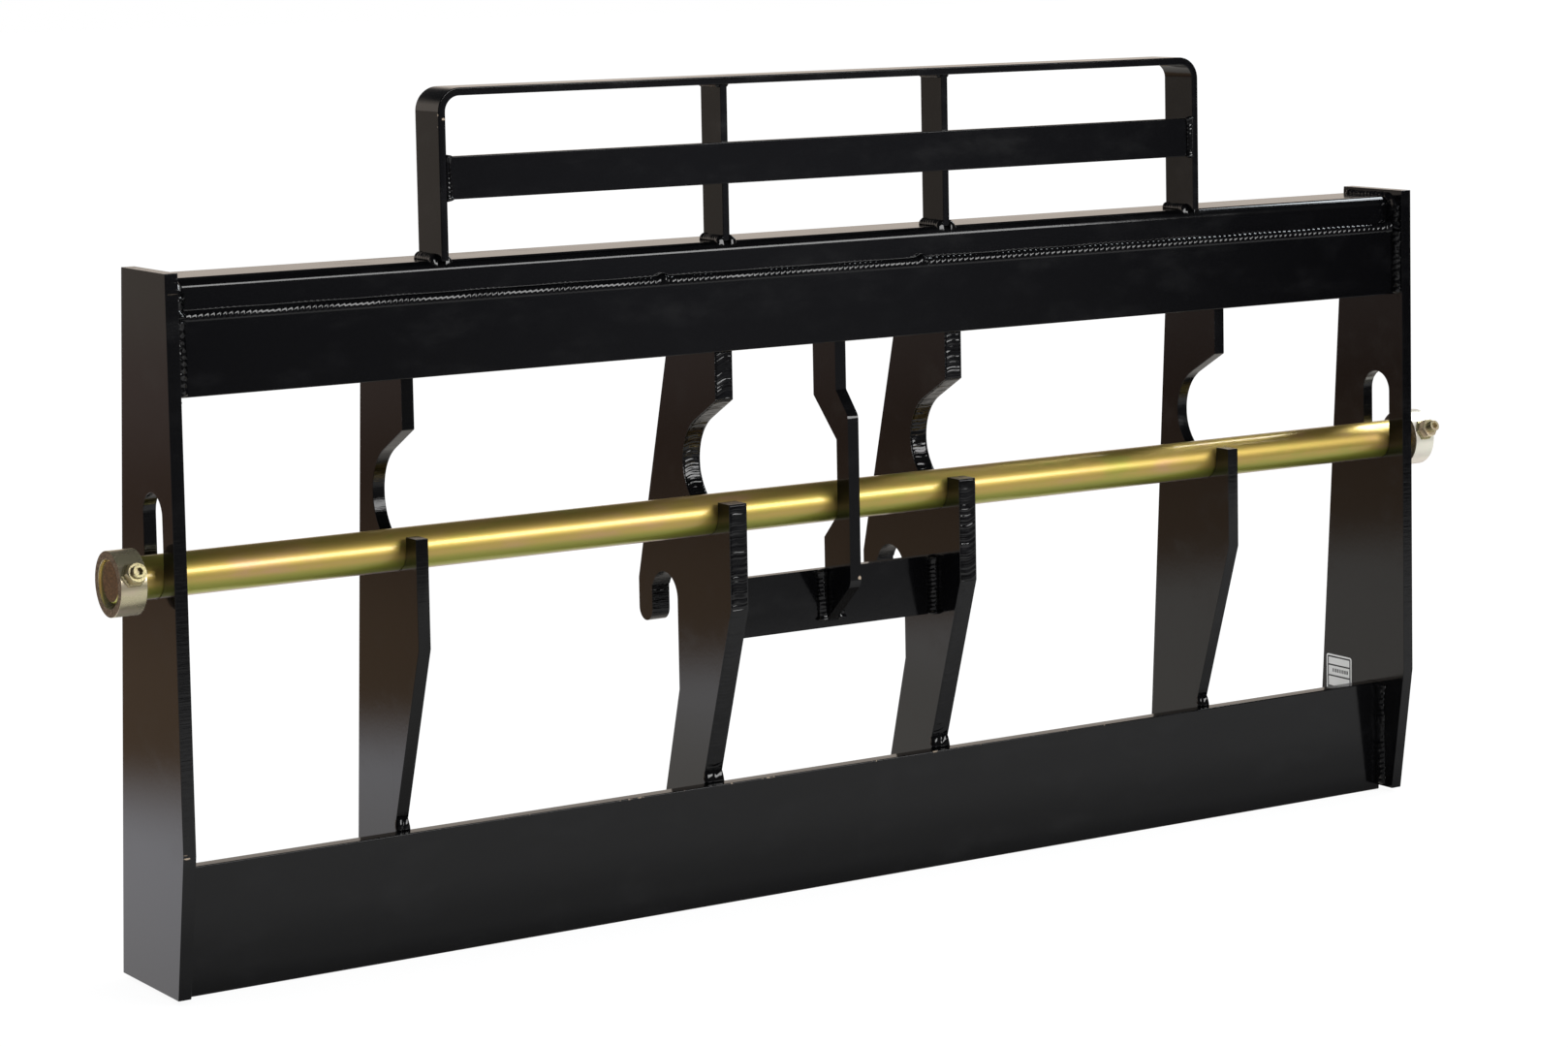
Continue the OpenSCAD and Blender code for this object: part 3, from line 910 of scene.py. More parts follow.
@dataclass
class Welds:
    """All weld runs of the frame, with ripples and swollen ends.

    Attributes:
        tube_front: Front of the top tube.
        tube_top: Top of the top tube.
        tube_side: Width of the top tube.
        tube_corner: Radius of the top tube's corners.
        face_front: Front of the face plate.
        face_low: Lower edge of the face plate.
        face_top: Upper edge of the face plate.
        face_legs: Legs of the run on the face plate, forwards and up.
        face_runs: The three lengths in which that run is laid.
        overlap: How far a run goes past its ends.
        end_runs: The runs at the ends of the face plate and the tube.
        end_pitch: Distance between ripples there.
        top_in: Leg on the tube's top at its ends.
        top_out: Leg on the end plates there.
        rail_front: Front of the lower rail.
        rail_rear: Rear of the lower rail.
        rail_low: Where the upright runs beside the rail start.
        rail_top: Top of the lower rail.
        rail_legs: Legs of the runs at the rail's ends, on the rail and on the end plate.
        feet: Middle and thickness of the hook plates that stand on the rail.
        foot_legs: Legs of the runs on their feet, forwards and along the plate's edge.
        foot_lean: Direction of the plates' edges at the feet, in Y and Z.
        foot_over: How far those runs go past a plate's faces.
        rear_leg: Leg of the runs behind.
        under_from: Where the runs under the tube start.
        bar_face: Front of the cross bar.
        bar_low: Lower edge of the cross bar.
        bar_top: Upper edge of the cross bar.
        bar_end: End of the cross bar.
        bar_leg: Leg of the runs at the bar's ends.
        strap_half: Half the thickness of the retainer.
        strap_legs: Legs of the runs beside the retainer, on the bar and on the retainer.
        strap_over: How far above the bar's lower edge those runs start.
        guard_side: Inner face of the guard's posts.
        guard_half: Half the guard's width.
        guard_rear: Rear of the guard's posts.
        guard_top: Underside of the guard's top bar.
        guard_under_from: Where the runs under that bar start.
        post_legs: Legs of the runs at the guard's feet, on the tube and on the post.
        post_path: Where those runs go behind the tube's front and below its top.
        under_leg: Leg of the runs under the guard's top bar.
        rung_front: Front of the guard's rung.
        rung_mid: Middle height of the rung.
        rung_half: Half the rung's width.
        rung_legs: Legs of the runs at the rung's ends, on the rung and on the post.
        rung_over: How far those runs go past the rung's edges.
        mid_x: Middle of the guard's uprights.
        mid_half: Half the uprights' thickness.
    """

    tube_front: float = -31.5 * MM
    tube_top: float = 832.9 * MM
    tube_side: float = 101.6 * MM
    tube_corner: float = 12 * MM
    face_front: float = -41.0 * MM
    face_low: float = 698.5 * MM
    face_top: float = 785.5 * MM
    face_legs: Band = (9.9 * MM, 12.6 * MM)
    face_runs: tuple[LongRun, ...] = (LongRun(-893 * MM, -258 * MM, 7.4 * MM, 0.62 * MM),
                                      LongRun(-258 * MM, 120 * MM, 7.8 * MM, 0.65 * MM),
                                      LongRun(120 * MM, 893 * MM, 8.6 * MM, 0.9 * MM))
    overlap: float = 2 * MM
    end_runs: tuple[tuple[Side, EndRun], ...] = (
        (Side.LEFT, EndRun(13 * MM, 10.5 * MM, 15 * MM, 16 * MM, 1.1 * MM, 0.35 * MM, 1.2 * MM, 0.5 * MM)),
        (Side.RIGHT, EndRun(5 * MM, 11 * MM, 6 * MM, 17 * MM, 1.0 * MM, 0.5 * MM, 1.1 * MM, 0.6 * MM)))
    end_pitch: float = 8 * MM
    top_in: float = 6 * MM
    top_out: float = 4.5 * MM
    rail_front: float = -1 * MM
    rail_rear: float = 18.05 * MM
    rail_low: float = 9 * MM
    rail_top: float = 151.5 * MM
    rail_legs: Band = (5 * MM, 13 * MM)
    feet: tuple[Flat, ...] = ((602.9 * MM, 15.875 * MM), (171.1 * MM, 25.4 * MM))
    foot_legs: Band = (6 * MM, 16 * MM)
    foot_lean: Flat = (0.144, 0.99)
    foot_over: float = 1.8 * MM
    rear_leg: float = 6 * MM
    under_from: float = -22 * MM
    bar_face: float = 6.5 * MM
    bar_low: float = 330 * MM
    bar_top: float = 405.5 * MM
    bar_end: float = 158.4 * MM
    bar_leg: float = 9 * MM
    strap_half: float = 7.94 * MM
    strap_legs: Band = (11 * MM, 6.5 * MM)
    strap_over: float = 9 * MM
    guard_side: float = 550.5 * MM
    guard_half: float = 560 * MM
    guard_rear: float = 20 * MM
    guard_top: float = 1026 * MM
    guard_under_from: float = -26 * MM
    post_legs: Band = (7 * MM, 7.5 * MM)
    post_path: tuple[Flat, ...] = ((1.5 * MM, -9 * MM), (4.5 * MM, -5 * MM), (9.5 * MM, -1 * MM),
                                   (14.5 * MM, 0.0))
    under_leg: float = 4.2 * MM
    rung_front: float = -36.3 * MM
    rung_mid: float = 929.6 * MM
    rung_half: float = 25.4 * MM
    rung_legs: Band = (7 * MM, 3.8 * MM)
    rung_over: float = 2.5 * MM
    mid_x: float = 163.5 * MM
    mid_half: float = 4.75 * MM

    def build(self, finish: bpy.types.Material) -> None:
        """Builds each group of runs in the place of its CAD node, and the runs behind.

        Args:
            finish: The paint on the welds.
        """
        groups: tuple[tuple[str, str | None, Callable[[], list[Bead]]], ...] = (
            ("rear_beads", None, self._rear),
            ("face_plate_bead", "face_plate_weld", self._face_plate),
            ("beam_end_beads", "beam_end_welds", self._beam_ends),
            ("rail_end_beads", "rail_end_welds", self._rail_ends),
            ("foot_beads", "foot_welds", self._feet),
            ("cross_bar_beads", "cross_bar_welds", self._cross_bar),
            ("guard_beads", "guard_welds", self._guard),
        )
        for name, node, runs in groups:
            mesh = bmesh.new()
            for bead in runs():
                bead.build(mesh)
            piece = finish_piece(mesh, name, finish, Body.CARRIAGE)
            if node is not None:
                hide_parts(node)

    def _face_plate(self) -> list[Bead]:
        """The long run on top of the face plate, laid in three lengths.

        Returns:
            The three runs.
        """
        beads = []
        forward, up = self.face_legs
        low = self.face_top - 1.4 * MM
        for number, run in enumerate(self.face_runs):
            path = straight((run.start - self.overlap, self.tube_front, low),
                            (run.end + self.overlap, self.tube_front, low), (0, -forward, 0), (0, 0, up))
            beads.append(Bead(path, 11 + number, pitch=run.pitch, ripple=run.ripple, power=3.0, slant=1.3,
                              around=15, per_pitch=8, wave=0.005, lump=0.012 * MM,
                              blobs=(Blob(0.0, 0.25, 8 * MM), Blob(1.0, 0.35, 8 * MM))))
        return beads

    def _beam_ends(self) -> list[Bead]:
        """Upright runs at both ends of the face plate and the tube, up and over its corner.

        Returns:
            A lower and an upper run for each side.
        """
        beads = []
        for side, run in self.end_runs:
            x, inward = side.value * INSIDE_X, -side.value
            low = straight((x, self.face_front, self.face_low + 0.5 * MM),
                           (x, self.face_front, self.face_top + self.overlap),
                           (inward * run.low_in, 0, 0), (0, -run.low_out, 0))
            beads.append(Bead(low, 21 + side.value, pitch=self.end_pitch, ripple=run.low_ripple,
                              lump=run.low_lump, wave=0.03, slant=0.7, power=1.45,
                              blobs=(Blob(0.01, 0.15), Blob(0.5, 0.08, 12 * MM), Blob(0.97, 0.12))))
            beads.append(Bead(self._over_corner(x, inward, run), 25 + side.value, pitch=self.end_pitch,
                              ripple=run.high_ripple, lump=run.high_lump, wave=0.03, slant=0.7, power=1.6,
                              around=13, blobs=(Blob(0.02, 0.25, 5 * MM), Blob(0.17, 0.15, 6 * MM),
                                                Blob(0.62, 0.08, 7 * MM))))
        return beads

    def _over_corner(self, x: float, inward: int, run: EndRun) -> list[Station]:
        """The way up the tube's front, over its rounded corner and back along its top.

        Args:
            x: The end plate's inner face.
            inward: Sign of the direction to mid width.
            run: The legs at this end.

        Returns:
            The stations in order.
        """
        middle_y, middle_z = self.tube_front + self.tube_corner, self.tube_top - self.tube_corner
        stations = [Station((x, self.tube_front, self.face_top + 1 * MM), (inward * run.high_in, 0, 0),
                            (0, -run.high_out, 0))]
        steps = 10
        for step in range(steps + 1):
            share = step / steps
            turn = math.radians(90 * step / steps)
            out_y, out_z = -math.cos(turn), math.sin(turn)
            on_tube = run.high_in + (self.top_in - run.high_in) * share
            on_plate = self.top_out + (run.high_out - self.top_out) * (1 - share) ** 2
            corner = (x, middle_y + self.tube_corner * out_y, middle_z + self.tube_corner * out_z)
            stations.append(Station(corner, (inward * on_tube, 0, 0),
                                    (0, on_plate * out_y, on_plate * out_z)))
        stations.append(Station((x, self.tube_front + self.tube_side - self.tube_corner, self.tube_top),
                                (inward * self.top_in, 0, 0), (0, 0, self.top_out)))
        return stations

    def _rail_ends(self) -> list[Bead]:
        """Upright runs at both ends of the rail's front face.

        Returns:
            A run for each side.
        """
        beads = []
        on_rail, on_plate = self.rail_legs
        for side in Side:
            x = side.value * INSIDE_X
            path = straight((x, self.rail_front, 7.5 * MM), (x, self.rail_front, self.rail_top),
                            (-side.value * on_rail, 0, 0), (0, -on_plate, 0))
            beads.append(Bead(path, 31 + side.value, pitch=7.5 * MM, ripple=1.1 * MM, lump=0.5 * MM,
                              slant=0.7, power=1.7, blobs=(Blob(0.97, 0.35),)))
        return beads

    def _feet(self) -> list[Bead]:
        """Short glossy runs across the hook plates' feet, on top of the rail.

        Returns:
            A run for each plate.
        """
        beads = []
        forward, up = self.foot_legs
        lean_y, lean_z = self.foot_lean
        y = self.rail_rear + 0.5 * MM
        for number, (middle, thick) in enumerate(self.feet):
            for side in Side:
                x, reach = side.value * middle, thick / 2 + self.foot_over
                path = straight((x - reach, y, self.rail_top), (x + reach, y, self.rail_top),
                                (0, -forward, 0), (0, up * lean_y, up * lean_z))
                beads.append(Bead(path, 41 + number * 2 + side.value, pitch=thick / 2, ripple=1.9 * MM,
                                  power=2.4, nose=4 * MM, around=14, per_pitch=12, lump=0.3 * MM))
        return beads

    def _rear(self) -> list[Bead]:
        """Runs behind the beam and the rail and under the tube, out of sight in the photograph.

        Returns:
            The runs of both sides and the retainer.
        """
        beads = []
        leg, low, rear = self.rear_leg, self.tube_top - self.tube_side, self.tube_front + self.tube_side
        for side in Side:
            s = side.value
            x = s * INSIDE_X
            beads.append(Bead(straight((x, rear, low + 8 * MM), (x, rear, self.tube_top - self.tube_corner),
                                       (-s * leg, 0, 0), (0, leg, 0)), 111 + s))
            beads.append(Bead(straight((x, self.rail_rear, self.rail_low),
                                       (x, self.rail_rear, self.rail_top),
                                       (-s * leg, 0, 0), (0, leg, 0)), 115 + s))
            for number, (middle, thick) in enumerate(self.feet):
                for out in (-1, 1):
                    face = s * middle + out * thick / 2
                    seed = 121 + 4 * number + 10 * s + out
                    beads.append(Bead(straight((face, self.under_from, low), (face, rear - 8 * MM, low),
                                               (out * leg, 0, 0), (0, 0, -leg)), seed))
                    beads.append(Bead(straight((face, self.rail_rear, self.rail_low),
                                               (face, self.rail_rear, self.rail_top - 6 * MM),
                                               (out * leg, 0, 0), (0, leg, 0)), seed + 40))
        for out in (-1, 1):
            face = out * self.strap_half
            beads.append(Bead(straight((face, self.under_from, low), (face, -self.under_from, low),
                                       (out * leg, 0, 0), (0, 0, -leg)), 181 + out))
        return beads

    def _cross_bar(self) -> list[Bead]:
        """Upright runs that hold the cross bar to the inner plates and the retainer.

        Returns:
            Two runs for each side.
        """
        beads = []
        on_bar, on_strap = self.strap_legs
        for side in Side:
            s = side.value
            ends = straight((s * self.bar_end, self.bar_face, self.bar_low - 1 * MM),
                            (s * self.bar_end, self.bar_face, self.bar_top + 2 * MM),
                            (-s * self.bar_leg, 0, 0), (0, -self.bar_leg, 0))
            beads.append(Bead(ends, 51 + s, ripple=0.9 * MM, lump=0.3 * MM,
                              blobs=(Blob(0.02, 0.3), Blob(0.97, 0.35))))
            strap = straight((s * self.strap_half, self.bar_face, self.bar_low + self.strap_over),
                             (s * self.strap_half, self.bar_face, self.bar_top + 1 * MM),
                             (s * on_bar, 0, 0), (0, -on_strap, 0))
            beads.append(Bead(strap, 55 + s, ripple=0.9 * MM, lump=0.3 * MM,
                              blobs=(Blob(0.03, 0.3), Blob(0.95, 0.4))))
        return beads

    def _guard(self) -> list[Bead]:
        """Runs at the guard's feet, under its top bar and at the ends of its rung.

        Returns:
            The runs of both sides.
        """
        beads = []
        on_tube, on_post = self.post_legs
        on_rung, on_side = self.rung_legs
        for side in Side:
            s = side.value
            posts = ((s * self.guard_half, s), (s * self.guard_side, -s),
                     (s * (self.mid_x + self.mid_half), s), (s * (self.mid_x - self.mid_half), -s))
            for number, (x, out) in enumerate(posts):
                path = [Station((x, self.tube_front + back, self.tube_top + drop), (out * on_tube, 0, 0),
                                (0, 0, on_post)) for back, drop in self.post_path]
                path.append(Station((x, self.guard_rear, self.tube_top), (out * on_tube, 0, 0),
                                    (0, 0, on_post)))
                beads.append(Bead(path, 61 + number + 10 * s, ripple=0.6 * MM,
                                  blobs=(Blob(0.10, 0.35, 6 * MM), Blob(0.97, 0.15))))
            for out in (-1, 1):
                x = s * self.mid_x + out * self.mid_half
                path = straight((x, self.guard_under_from, self.guard_top),
                                (x, self.guard_rear, self.guard_top),
                                (out * self.under_leg, 0, 0), (0, 0, -self.under_leg))
                beads.append(Bead(path, 91 + out + 5 * s))
            reach = self.rung_half + self.rung_over
            rung = straight((s * self.guard_side, self.rung_front, self.rung_mid - reach),
                            (s * self.guard_side, self.rung_front, self.rung_mid + reach),
                            (-s * on_rung, 0, 0), (0, -on_side, 0))
            beads.append(Bead(rung, 97 + s, blobs=(Blob(0.04, 0.35), Blob(0.96, 0.35))))
        return beads


@dataclass
class ForkShaft:
    """The plated shaft with its collars, nuts and set screws.

    Attributes:
        edge: Rounding of the edges.
        axis_z: Height of the shaft's axis at rest.
        collar_mid: Middle of a collar.
        collar_r: Radius of a collar.
        ends: Each side, how far its collar's middle hangs below the shaft's axis, and how far its set
            screw stands out of its nut.
        nut_flat: Width of a nut across its flats.
        nut_high: Height of a nut.
        nut_tilt: Angle at which the nuts point up, in degrees.
        nut_leg: Leg of the run round a nut.
        nut_tuck: Share of the nut's size at which that run starts, so that it reaches under its sides.
        screw_r: Radius of a set screw.
        thread_pitch: Pitch of the thread.
        thread_deep: Depth of the thread.
        thread_inset: How far the thread's inner wall lies inside the screw.
        thread_around: Points round the thread.
    """

    edge: float = 0.5 * MM
    axis_z: float = 492.5 * MM
    collar_mid: float = 954.875 * MM
    collar_r: float = 38.1 * MM
    ends: tuple[tuple[Side, float, float], ...] = ((Side.LEFT, 3.0 * MM, 6.5 * MM),
                                                   (Side.RIGHT, 1.3 * MM, 11.0 * MM))
    nut_flat: float = 22.2 * MM
    nut_high: float = 14 * MM
    nut_tilt: float = 20.7
    nut_leg: float = 2.6 * MM
    nut_tuck: float = 0.97
    screw_r: float = 7.1 * MM
    thread_pitch: float = 1.75 * MM
    thread_deep: float = 0.4 * MM
    thread_inset: float = 0.3 * MM
    thread_around: int = 48

    def dress(self, nodes: dict[str, bpy.types.Object]) -> None:
        """Gives the shaft and what is on it their plated finishes, some with painted light, and adds its
        fine parts.

        Args:
            nodes: The CAD nodes by name.
        """
        # The gold plating's underside tint and pinkish rim are a painted reflection of what lies below.
        gold = ZincPlate("yellow_zinc_plate",
                         ((0.66, 0.60, 0.12), (0.80, 0.58, 0.15), (0.84, 0.52, 0.26)),
                         (0.30, 0.17, 0.07), roughness=0.45, metal=0.97, coat=0.9, under=(0.58, 0.60, 0.10))
        pale = ZincPlate("pale_zinc_plate",
                         ((0.74, 0.77, 0.46), (0.84, 0.76, 0.50), (0.84, 0.69, 0.54)),
                         (0.46, 0.37, 0.27), roughness=0.27, metal=0.9)
        bright = ZincPlate("bright_nut_plate",
                           ((0.52, 0.50, 0.26), (0.62, 0.55, 0.30), (0.62, 0.50, 0.36)),
                           (0.46, 0.38, 0.24), end_roughness=0.35, metal=0.95)
        # Painted light: the right collar takes a paler, less metallic copy of the left collar's plating.
        lit = ZincPlate("pale_zinc_painted_lit_plate",
                        ((0.90, 0.89, 0.74), (0.96, 0.90, 0.78), (0.95, 0.84, 0.76)),
                        (0.50, 0.42, 0.33), roughness=0.30, metal=0.55)
        # Painted light: the right nut and set screw take a lighter copy of the left ones' plating.
        lit_nut = ZincPlate("painted_lit_nut_plate",
                            ((0.80, 0.74, 0.42), (0.86, 0.70, 0.48), (0.86, 0.58, 0.50)),
                            (0.50, 0.36, 0.28), roughness=0.24, end_roughness=0.35, metal=0.78)
        finishes = ((gold, ("fork_shaft",)), (pale, ("collar_left",)), (lit, ("collar_right",)),
                    (bright, ("collar_nut_left", "set_screw_left")),
                    (lit_nut, ("collar_nut_right", "set_screw_right")))
        made = {}
        for finish, names in finishes:
            made[finish.name] = finish.build()
            for name in names:
                dress_node(nodes[name], made[finish.name], self.edge, 2)
        self._fine_parts(made[bright.name])

    def _fine_parts(self, finish: bpy.types.Material) -> None:
        """Adds each nut's weld and each set screw's thread.

        Args:
            finish: Their plating.
        """
        for side, hang, out in self.ends:
            centre = np.array((side.value * self.collar_mid, 0.0, self.axis_z - hang))
            tag = side.name.lower()
            mesh = bmesh.new()
            self._nut_weld(centre, 200 + side.value).build(mesh)
            finish_piece(mesh, f"collar_nut_{tag}_bead", finish, Body.SHAFT)
            mesh = bmesh.new()
            self._thread(mesh, centre, out)
            finish_piece(mesh, f"set_screw_{tag}_thread", finish, Body.SHAFT)

    def _screw_axes(self) -> tuple[np.ndarray, np.ndarray, np.ndarray]:
        """The directions of a nut and its screw.

        Returns:
            Across, up along the collar, and out along the screw.
        """
        rise = math.radians(self.nut_tilt)
        return (np.array((1.0, 0.0, 0.0)), np.array((0.0, math.sin(rise), math.cos(rise))),
                np.array((0.0, -math.cos(rise), math.sin(rise))))

    def _nut_weld(self, centre: np.ndarray, seed: int) -> Bead:
        """The small run round a nut's foot, on the collar's round face.

        Args:
            centre: The collar's middle.
            seed: Seed of the run's random draws.

        Returns:
            The run.
        """
        across, up, out = self._screw_axes()
        stations = []
        for step in range(0, 361, 6):
            turn, off_flat = math.radians(step), math.radians(step % 60 - 30)
            reach = self.nut_flat / 2 / math.cos(off_flat) * self.nut_tuck
            u, v = reach * math.cos(turn), reach * math.sin(turn)
            w = math.sqrt(self.collar_r ** 2 - v * v)
            slope = np.array((math.cos(turn), math.sin(turn), -v / w * math.sin(turn)))
            slope *= self.nut_leg / np.linalg.norm(slope)
            away = across * slope[0] + up * slope[1] + out * slope[2]
            at = centre + across * u + up * v + out * w
            stations.append(Station(tuple(at), tuple(away), tuple(out * self.nut_leg * 1.1)))
        return Bead(stations, seed, pitch=4 * MM, ripple=0.35 * MM, power=2.2, closed=True)

    def _thread(self, mesh: bmesh.types.BMesh, centre: np.ndarray, out_by: float) -> None:
        """A ridged sleeve on the part of a set screw that stands out of its nut.

        Args:
            mesh: The mesh that takes it.
            centre: The collar's middle.
            out_by: How far the screw's end stands out of the nut.
        """
        across, up, out = self._screw_axes()
        nut_end = self.collar_r + self.nut_high
        levels = np.arange(nut_end + 0.2 * MM, nut_end + out_by - 1.1 * MM, self.thread_pitch / 8)
        turns = [2 * math.pi * k / self.thread_around for k in range(self.thread_around)]

        def ring(level: float, radii: Sequence[float]) -> list[bmesh.types.BMVert]:
            """One ring of points at a level, with a radius for each."""
            return [mesh.verts.new(centre + across * (r * math.cos(turn)) + up * (r * math.sin(turn))
                                   + out * level) for r, turn in zip(radii, turns)]

        rings = []
        for level in levels:
            phases = [(level / self.thread_pitch - k / self.thread_around) % 1.0
                      for k in range(self.thread_around)]
            rings.append(ring(level, [self.screw_r + 0.03 * MM + self.thread_deep * (1 - abs(2 * phase - 1))
                                      for phase in phases]))
        inner = [self.screw_r - self.thread_inset] * self.thread_around
        rings += [ring(levels[-1], inner), ring(levels[0], inner)]
        skin_rings(mesh, rings + rings[:1])


@dataclass
class CutEdge:
    """A thin skin with the ridges of a flame cut, on one stretch of a thick plate's edge.

    Attributes:
        points: The edge's line in Y and Z.
        middle: Middle of the plate's thickness.
        thick: The plate's thickness.
        seed: Seed of the random draws.
        depth: Height of the deepest ridges.
        step: Distance between rows of points.
        across: Points across the plate.
        inset: How far the skin stays inside the plate's faces.
        sunk: How deep the skin's back lies in the plate.
        rim_sunk: How deep its rim lies.
        ridges: Spacing of the fine, coarse and deep ridges.
        shares: Share of each of them in the height.
        least: Share of the depth that is always there.
        fade: Share of the height at the first face and what it loses towards the other.
        patch: Size of the patches in which the ridges are stronger or weaker.
        patch_least: Least strength of a patch.
        patch_lanes: Patches across the plate.
        lean: How far a ridge runs along while it crosses the plate.
        sway: How far a ridge bends to and fro on the way.
        sway_turn: How often it bends, in radians over the plate.
        end_fade: Length over which the skin rises at its ends.
        side_fade: Points over which it rises at its sides.
    """

    points: Sequence[Flat]
    middle: float
    thick: float
    seed: int
    depth: float
    step: float = 0.45 * MM
    across: int = 22
    inset: float = 0.45 * MM
    sunk: float = 0.6 * MM
    rim_sunk: float = 0.25 * MM
    ridges: Point = (1.4 * MM, 3.1 * MM, 8 * MM)
    shares: Point = (0.45, 0.35, 0.20)
    least: float = 0.12
    fade: Band = (1.25, 0.6)
    patch: float = 6 * MM
    patch_least: float = 0.2
    patch_lanes: int = 4
    lean: float = 5 * MM
    sway: float = 1.6 * MM
    sway_turn: float = 5
    end_fade: float = 1.2 * MM
    side_fade: float = 1.6

    def build(self, mesh: bmesh.types.BMesh) -> None:
        """Adds the skin to a mesh as a closed shell.

        Args:
            mesh: The mesh that takes it.
        """
        line = np.array(self.points, float)
        run = np.concatenate([[0.0], np.cumsum(np.linalg.norm(np.diff(line, axis=0), axis=1))])
        count = int(run[-1] / self.step)
        at = np.linspace(0, run[-1], count + 1)
        y, z = np.interp(at, run, line[:, 0]), np.interp(at, run, line[:, 1])
        dy, dz = np.gradient(y), np.gradient(z)
        size = np.hypot(dy, dz)
        out_y, out_z = dz / size, -dy / size
        share = np.linspace(0, 1, self.across)
        x = self.middle + (share - 0.5) * (self.thick - 2 * self.inset)
        height = self._height(at, share, float(run[-1]))
        rings = []
        for i in range(count + 1):
            front = [(x[j], y[i] + out_y[i] * height[i, j], z[i] + out_z[i] * height[i, j])
                     for j in range(self.across)]
            back = [(x[j], y[i] - out_y[i] * self.sunk, z[i] - out_z[i] * self.sunk) for j in (-1, 0)]
            rings.append([mesh.verts.new(point) for point in front + back])
        skin_rings(mesh, rings)
        close_ends(mesh, rings)

    def _height(self, at: np.ndarray, share: np.ndarray, length: float) -> np.ndarray:
        """Height of the skin over the plate's edge at every place.

        Args:
            at: Distance of each row from the start.
            share: Place of each point across the plate.
            length: Length of the stretch.

        Returns:
            A height for each row and point.
        """
        random = np.random.default_rng(self.seed)
        fine, coarse, deep = (self._ridges(at, share, length, spacing, random) for spacing in self.ridges)
        knots = max(4, int(length / self.patch))
        places = np.linspace(0, length, knots)
        patch = np.stack([np.interp(at, places, random.uniform(self.patch_least, 1, knots))
                          for _ in range(self.patch_lanes)])
        lanes = np.linspace(0, 1, self.patch_lanes)
        weight = np.array([np.interp(share, lanes, patch[:, i]) for i in range(len(at))])
        rough = self.shares[0] * fine + self.shares[1] * coarse + self.shares[2] * deep
        height = self.depth * (self.least + weight * rough * (self.fade[0] - self.fade[1] * share[None, :]))
        side = np.clip(np.minimum(share, 1 - share) * self.across / self.side_fade, 0, 1)
        ends = np.clip(np.minimum(at, length - at) / self.end_fade, 0, 1)
        cover = side[None, :] * ends[:, None]
        return height * cover - self.rim_sunk * (1 - cover)

    def _ridges(self, at: np.ndarray, share: np.ndarray, length: float, spacing: float,
                random: np.random.Generator) -> np.ndarray:
        """Random heights along the cut, slanted across the plate.

        Args:
            at: Distance of each row from the start.
            share: Place of each point across the plate.
            length: Length of the stretch.
            spacing: Distance between ridges.
            random: Source of the random draws.

        Returns:
            A height from 0 to 1 for each row and point.
        """
        margin = 12 * MM
        knots = np.arange(-margin, length + margin, spacing)
        values = random.uniform(0, 1, len(knots))
        lean = self.lean * (share - 0.5) + self.sway * np.sin(share * self.sway_turn + self.seed)
        return np.interp(at[:, None] + lean[None, :], knots, values)


@dataclass
class CutEdges:
    """The flame-cut skins of both inner plates.

    Attributes:
        middle: Middle of a plate's thickness.
        thick: A plate's thickness.
        throat: Middle of the round throat in Y and Z, and its radius.
        throat_from: Angle at which the throat meets the slope above it, in degrees.
        throat_to: Angle at which the skin ends above the shaft, in degrees.
        throat_steps: Points along the throat.
        lip: Corner above the throat, in Y and Z.
        lip_top: Height at which the edge above it goes behind the face plate.
        tip: Upper front corner of the pocket's horn.
        kink: Where the front edge bends back.
        heel: Foot of the front edge.
        depths: Depth of the ridges above the throat, in it, on the horn and below the kink.
    """

    middle: float = 171.1 * MM
    thick: float = 25.4 * MM
    throat: Point = (-5.5 * MM, 554.5 * MM, 62 * MM)
    throat_from: float = 60.0
    throat_to: float = -54.0
    throat_steps: int = 60
    lip: Flat = (-26 * MM, 636.5 * MM)
    lip_top: float = 697 * MM
    tip: Flat = (-53.5 * MM, 510.5 * MM)
    kink: Flat = (-53.5 * MM, 379.5 * MM)
    heel: Flat = (21.1 * MM, 156.5 * MM)
    depths: tuple[float, float, float, float] = (1.9 * MM, 2.1 * MM, 1.35 * MM, 1.1 * MM)

    def build(self) -> None:
        """Builds the skins with the finish of the plates."""
        finish = GlossPaint("gloss_black_flame_cut", roughness=0.09, peel=0.2).build()
        for side in Side:
            mesh = bmesh.new()
            for number, (points, depth) in enumerate(zip(self._lines(), self.depths)):
                seed = 301 + number + 7 * side.value
                CutEdge(points, side.value * self.middle, self.thick, seed, depth).build(mesh)
            finish_piece(mesh, f"inner_plate_{side.name.lower()}_cut_edge", finish, Body.CARRIAGE)

    def _lines(self) -> list[list[Flat]]:
        """The four stretches of a plate's edge that carry a skin, kept just clear of the corners.

        Returns:
            The points of each stretch.
        """
        y, z, r = self.throat
        arc = [(y + r * math.cos(math.radians(a)), z + r * math.sin(math.radians(a)))
               for a in np.linspace(self.throat_from, self.throat_to, self.throat_steps)]
        return [[(self.lip[0], self.lip_top), (self.lip[0], self.lip[1] + 0.6 * MM)],
                [(self.lip[0] + 1 * MM, self.lip[1] - 0.55 * MM), *arc],
                [(self.tip[0], self.tip[1] - 1 * MM), self.kink],
                [self.kink, (self.heel[0] - 4 * MM, self.heel[1] + 12 * MM)]]


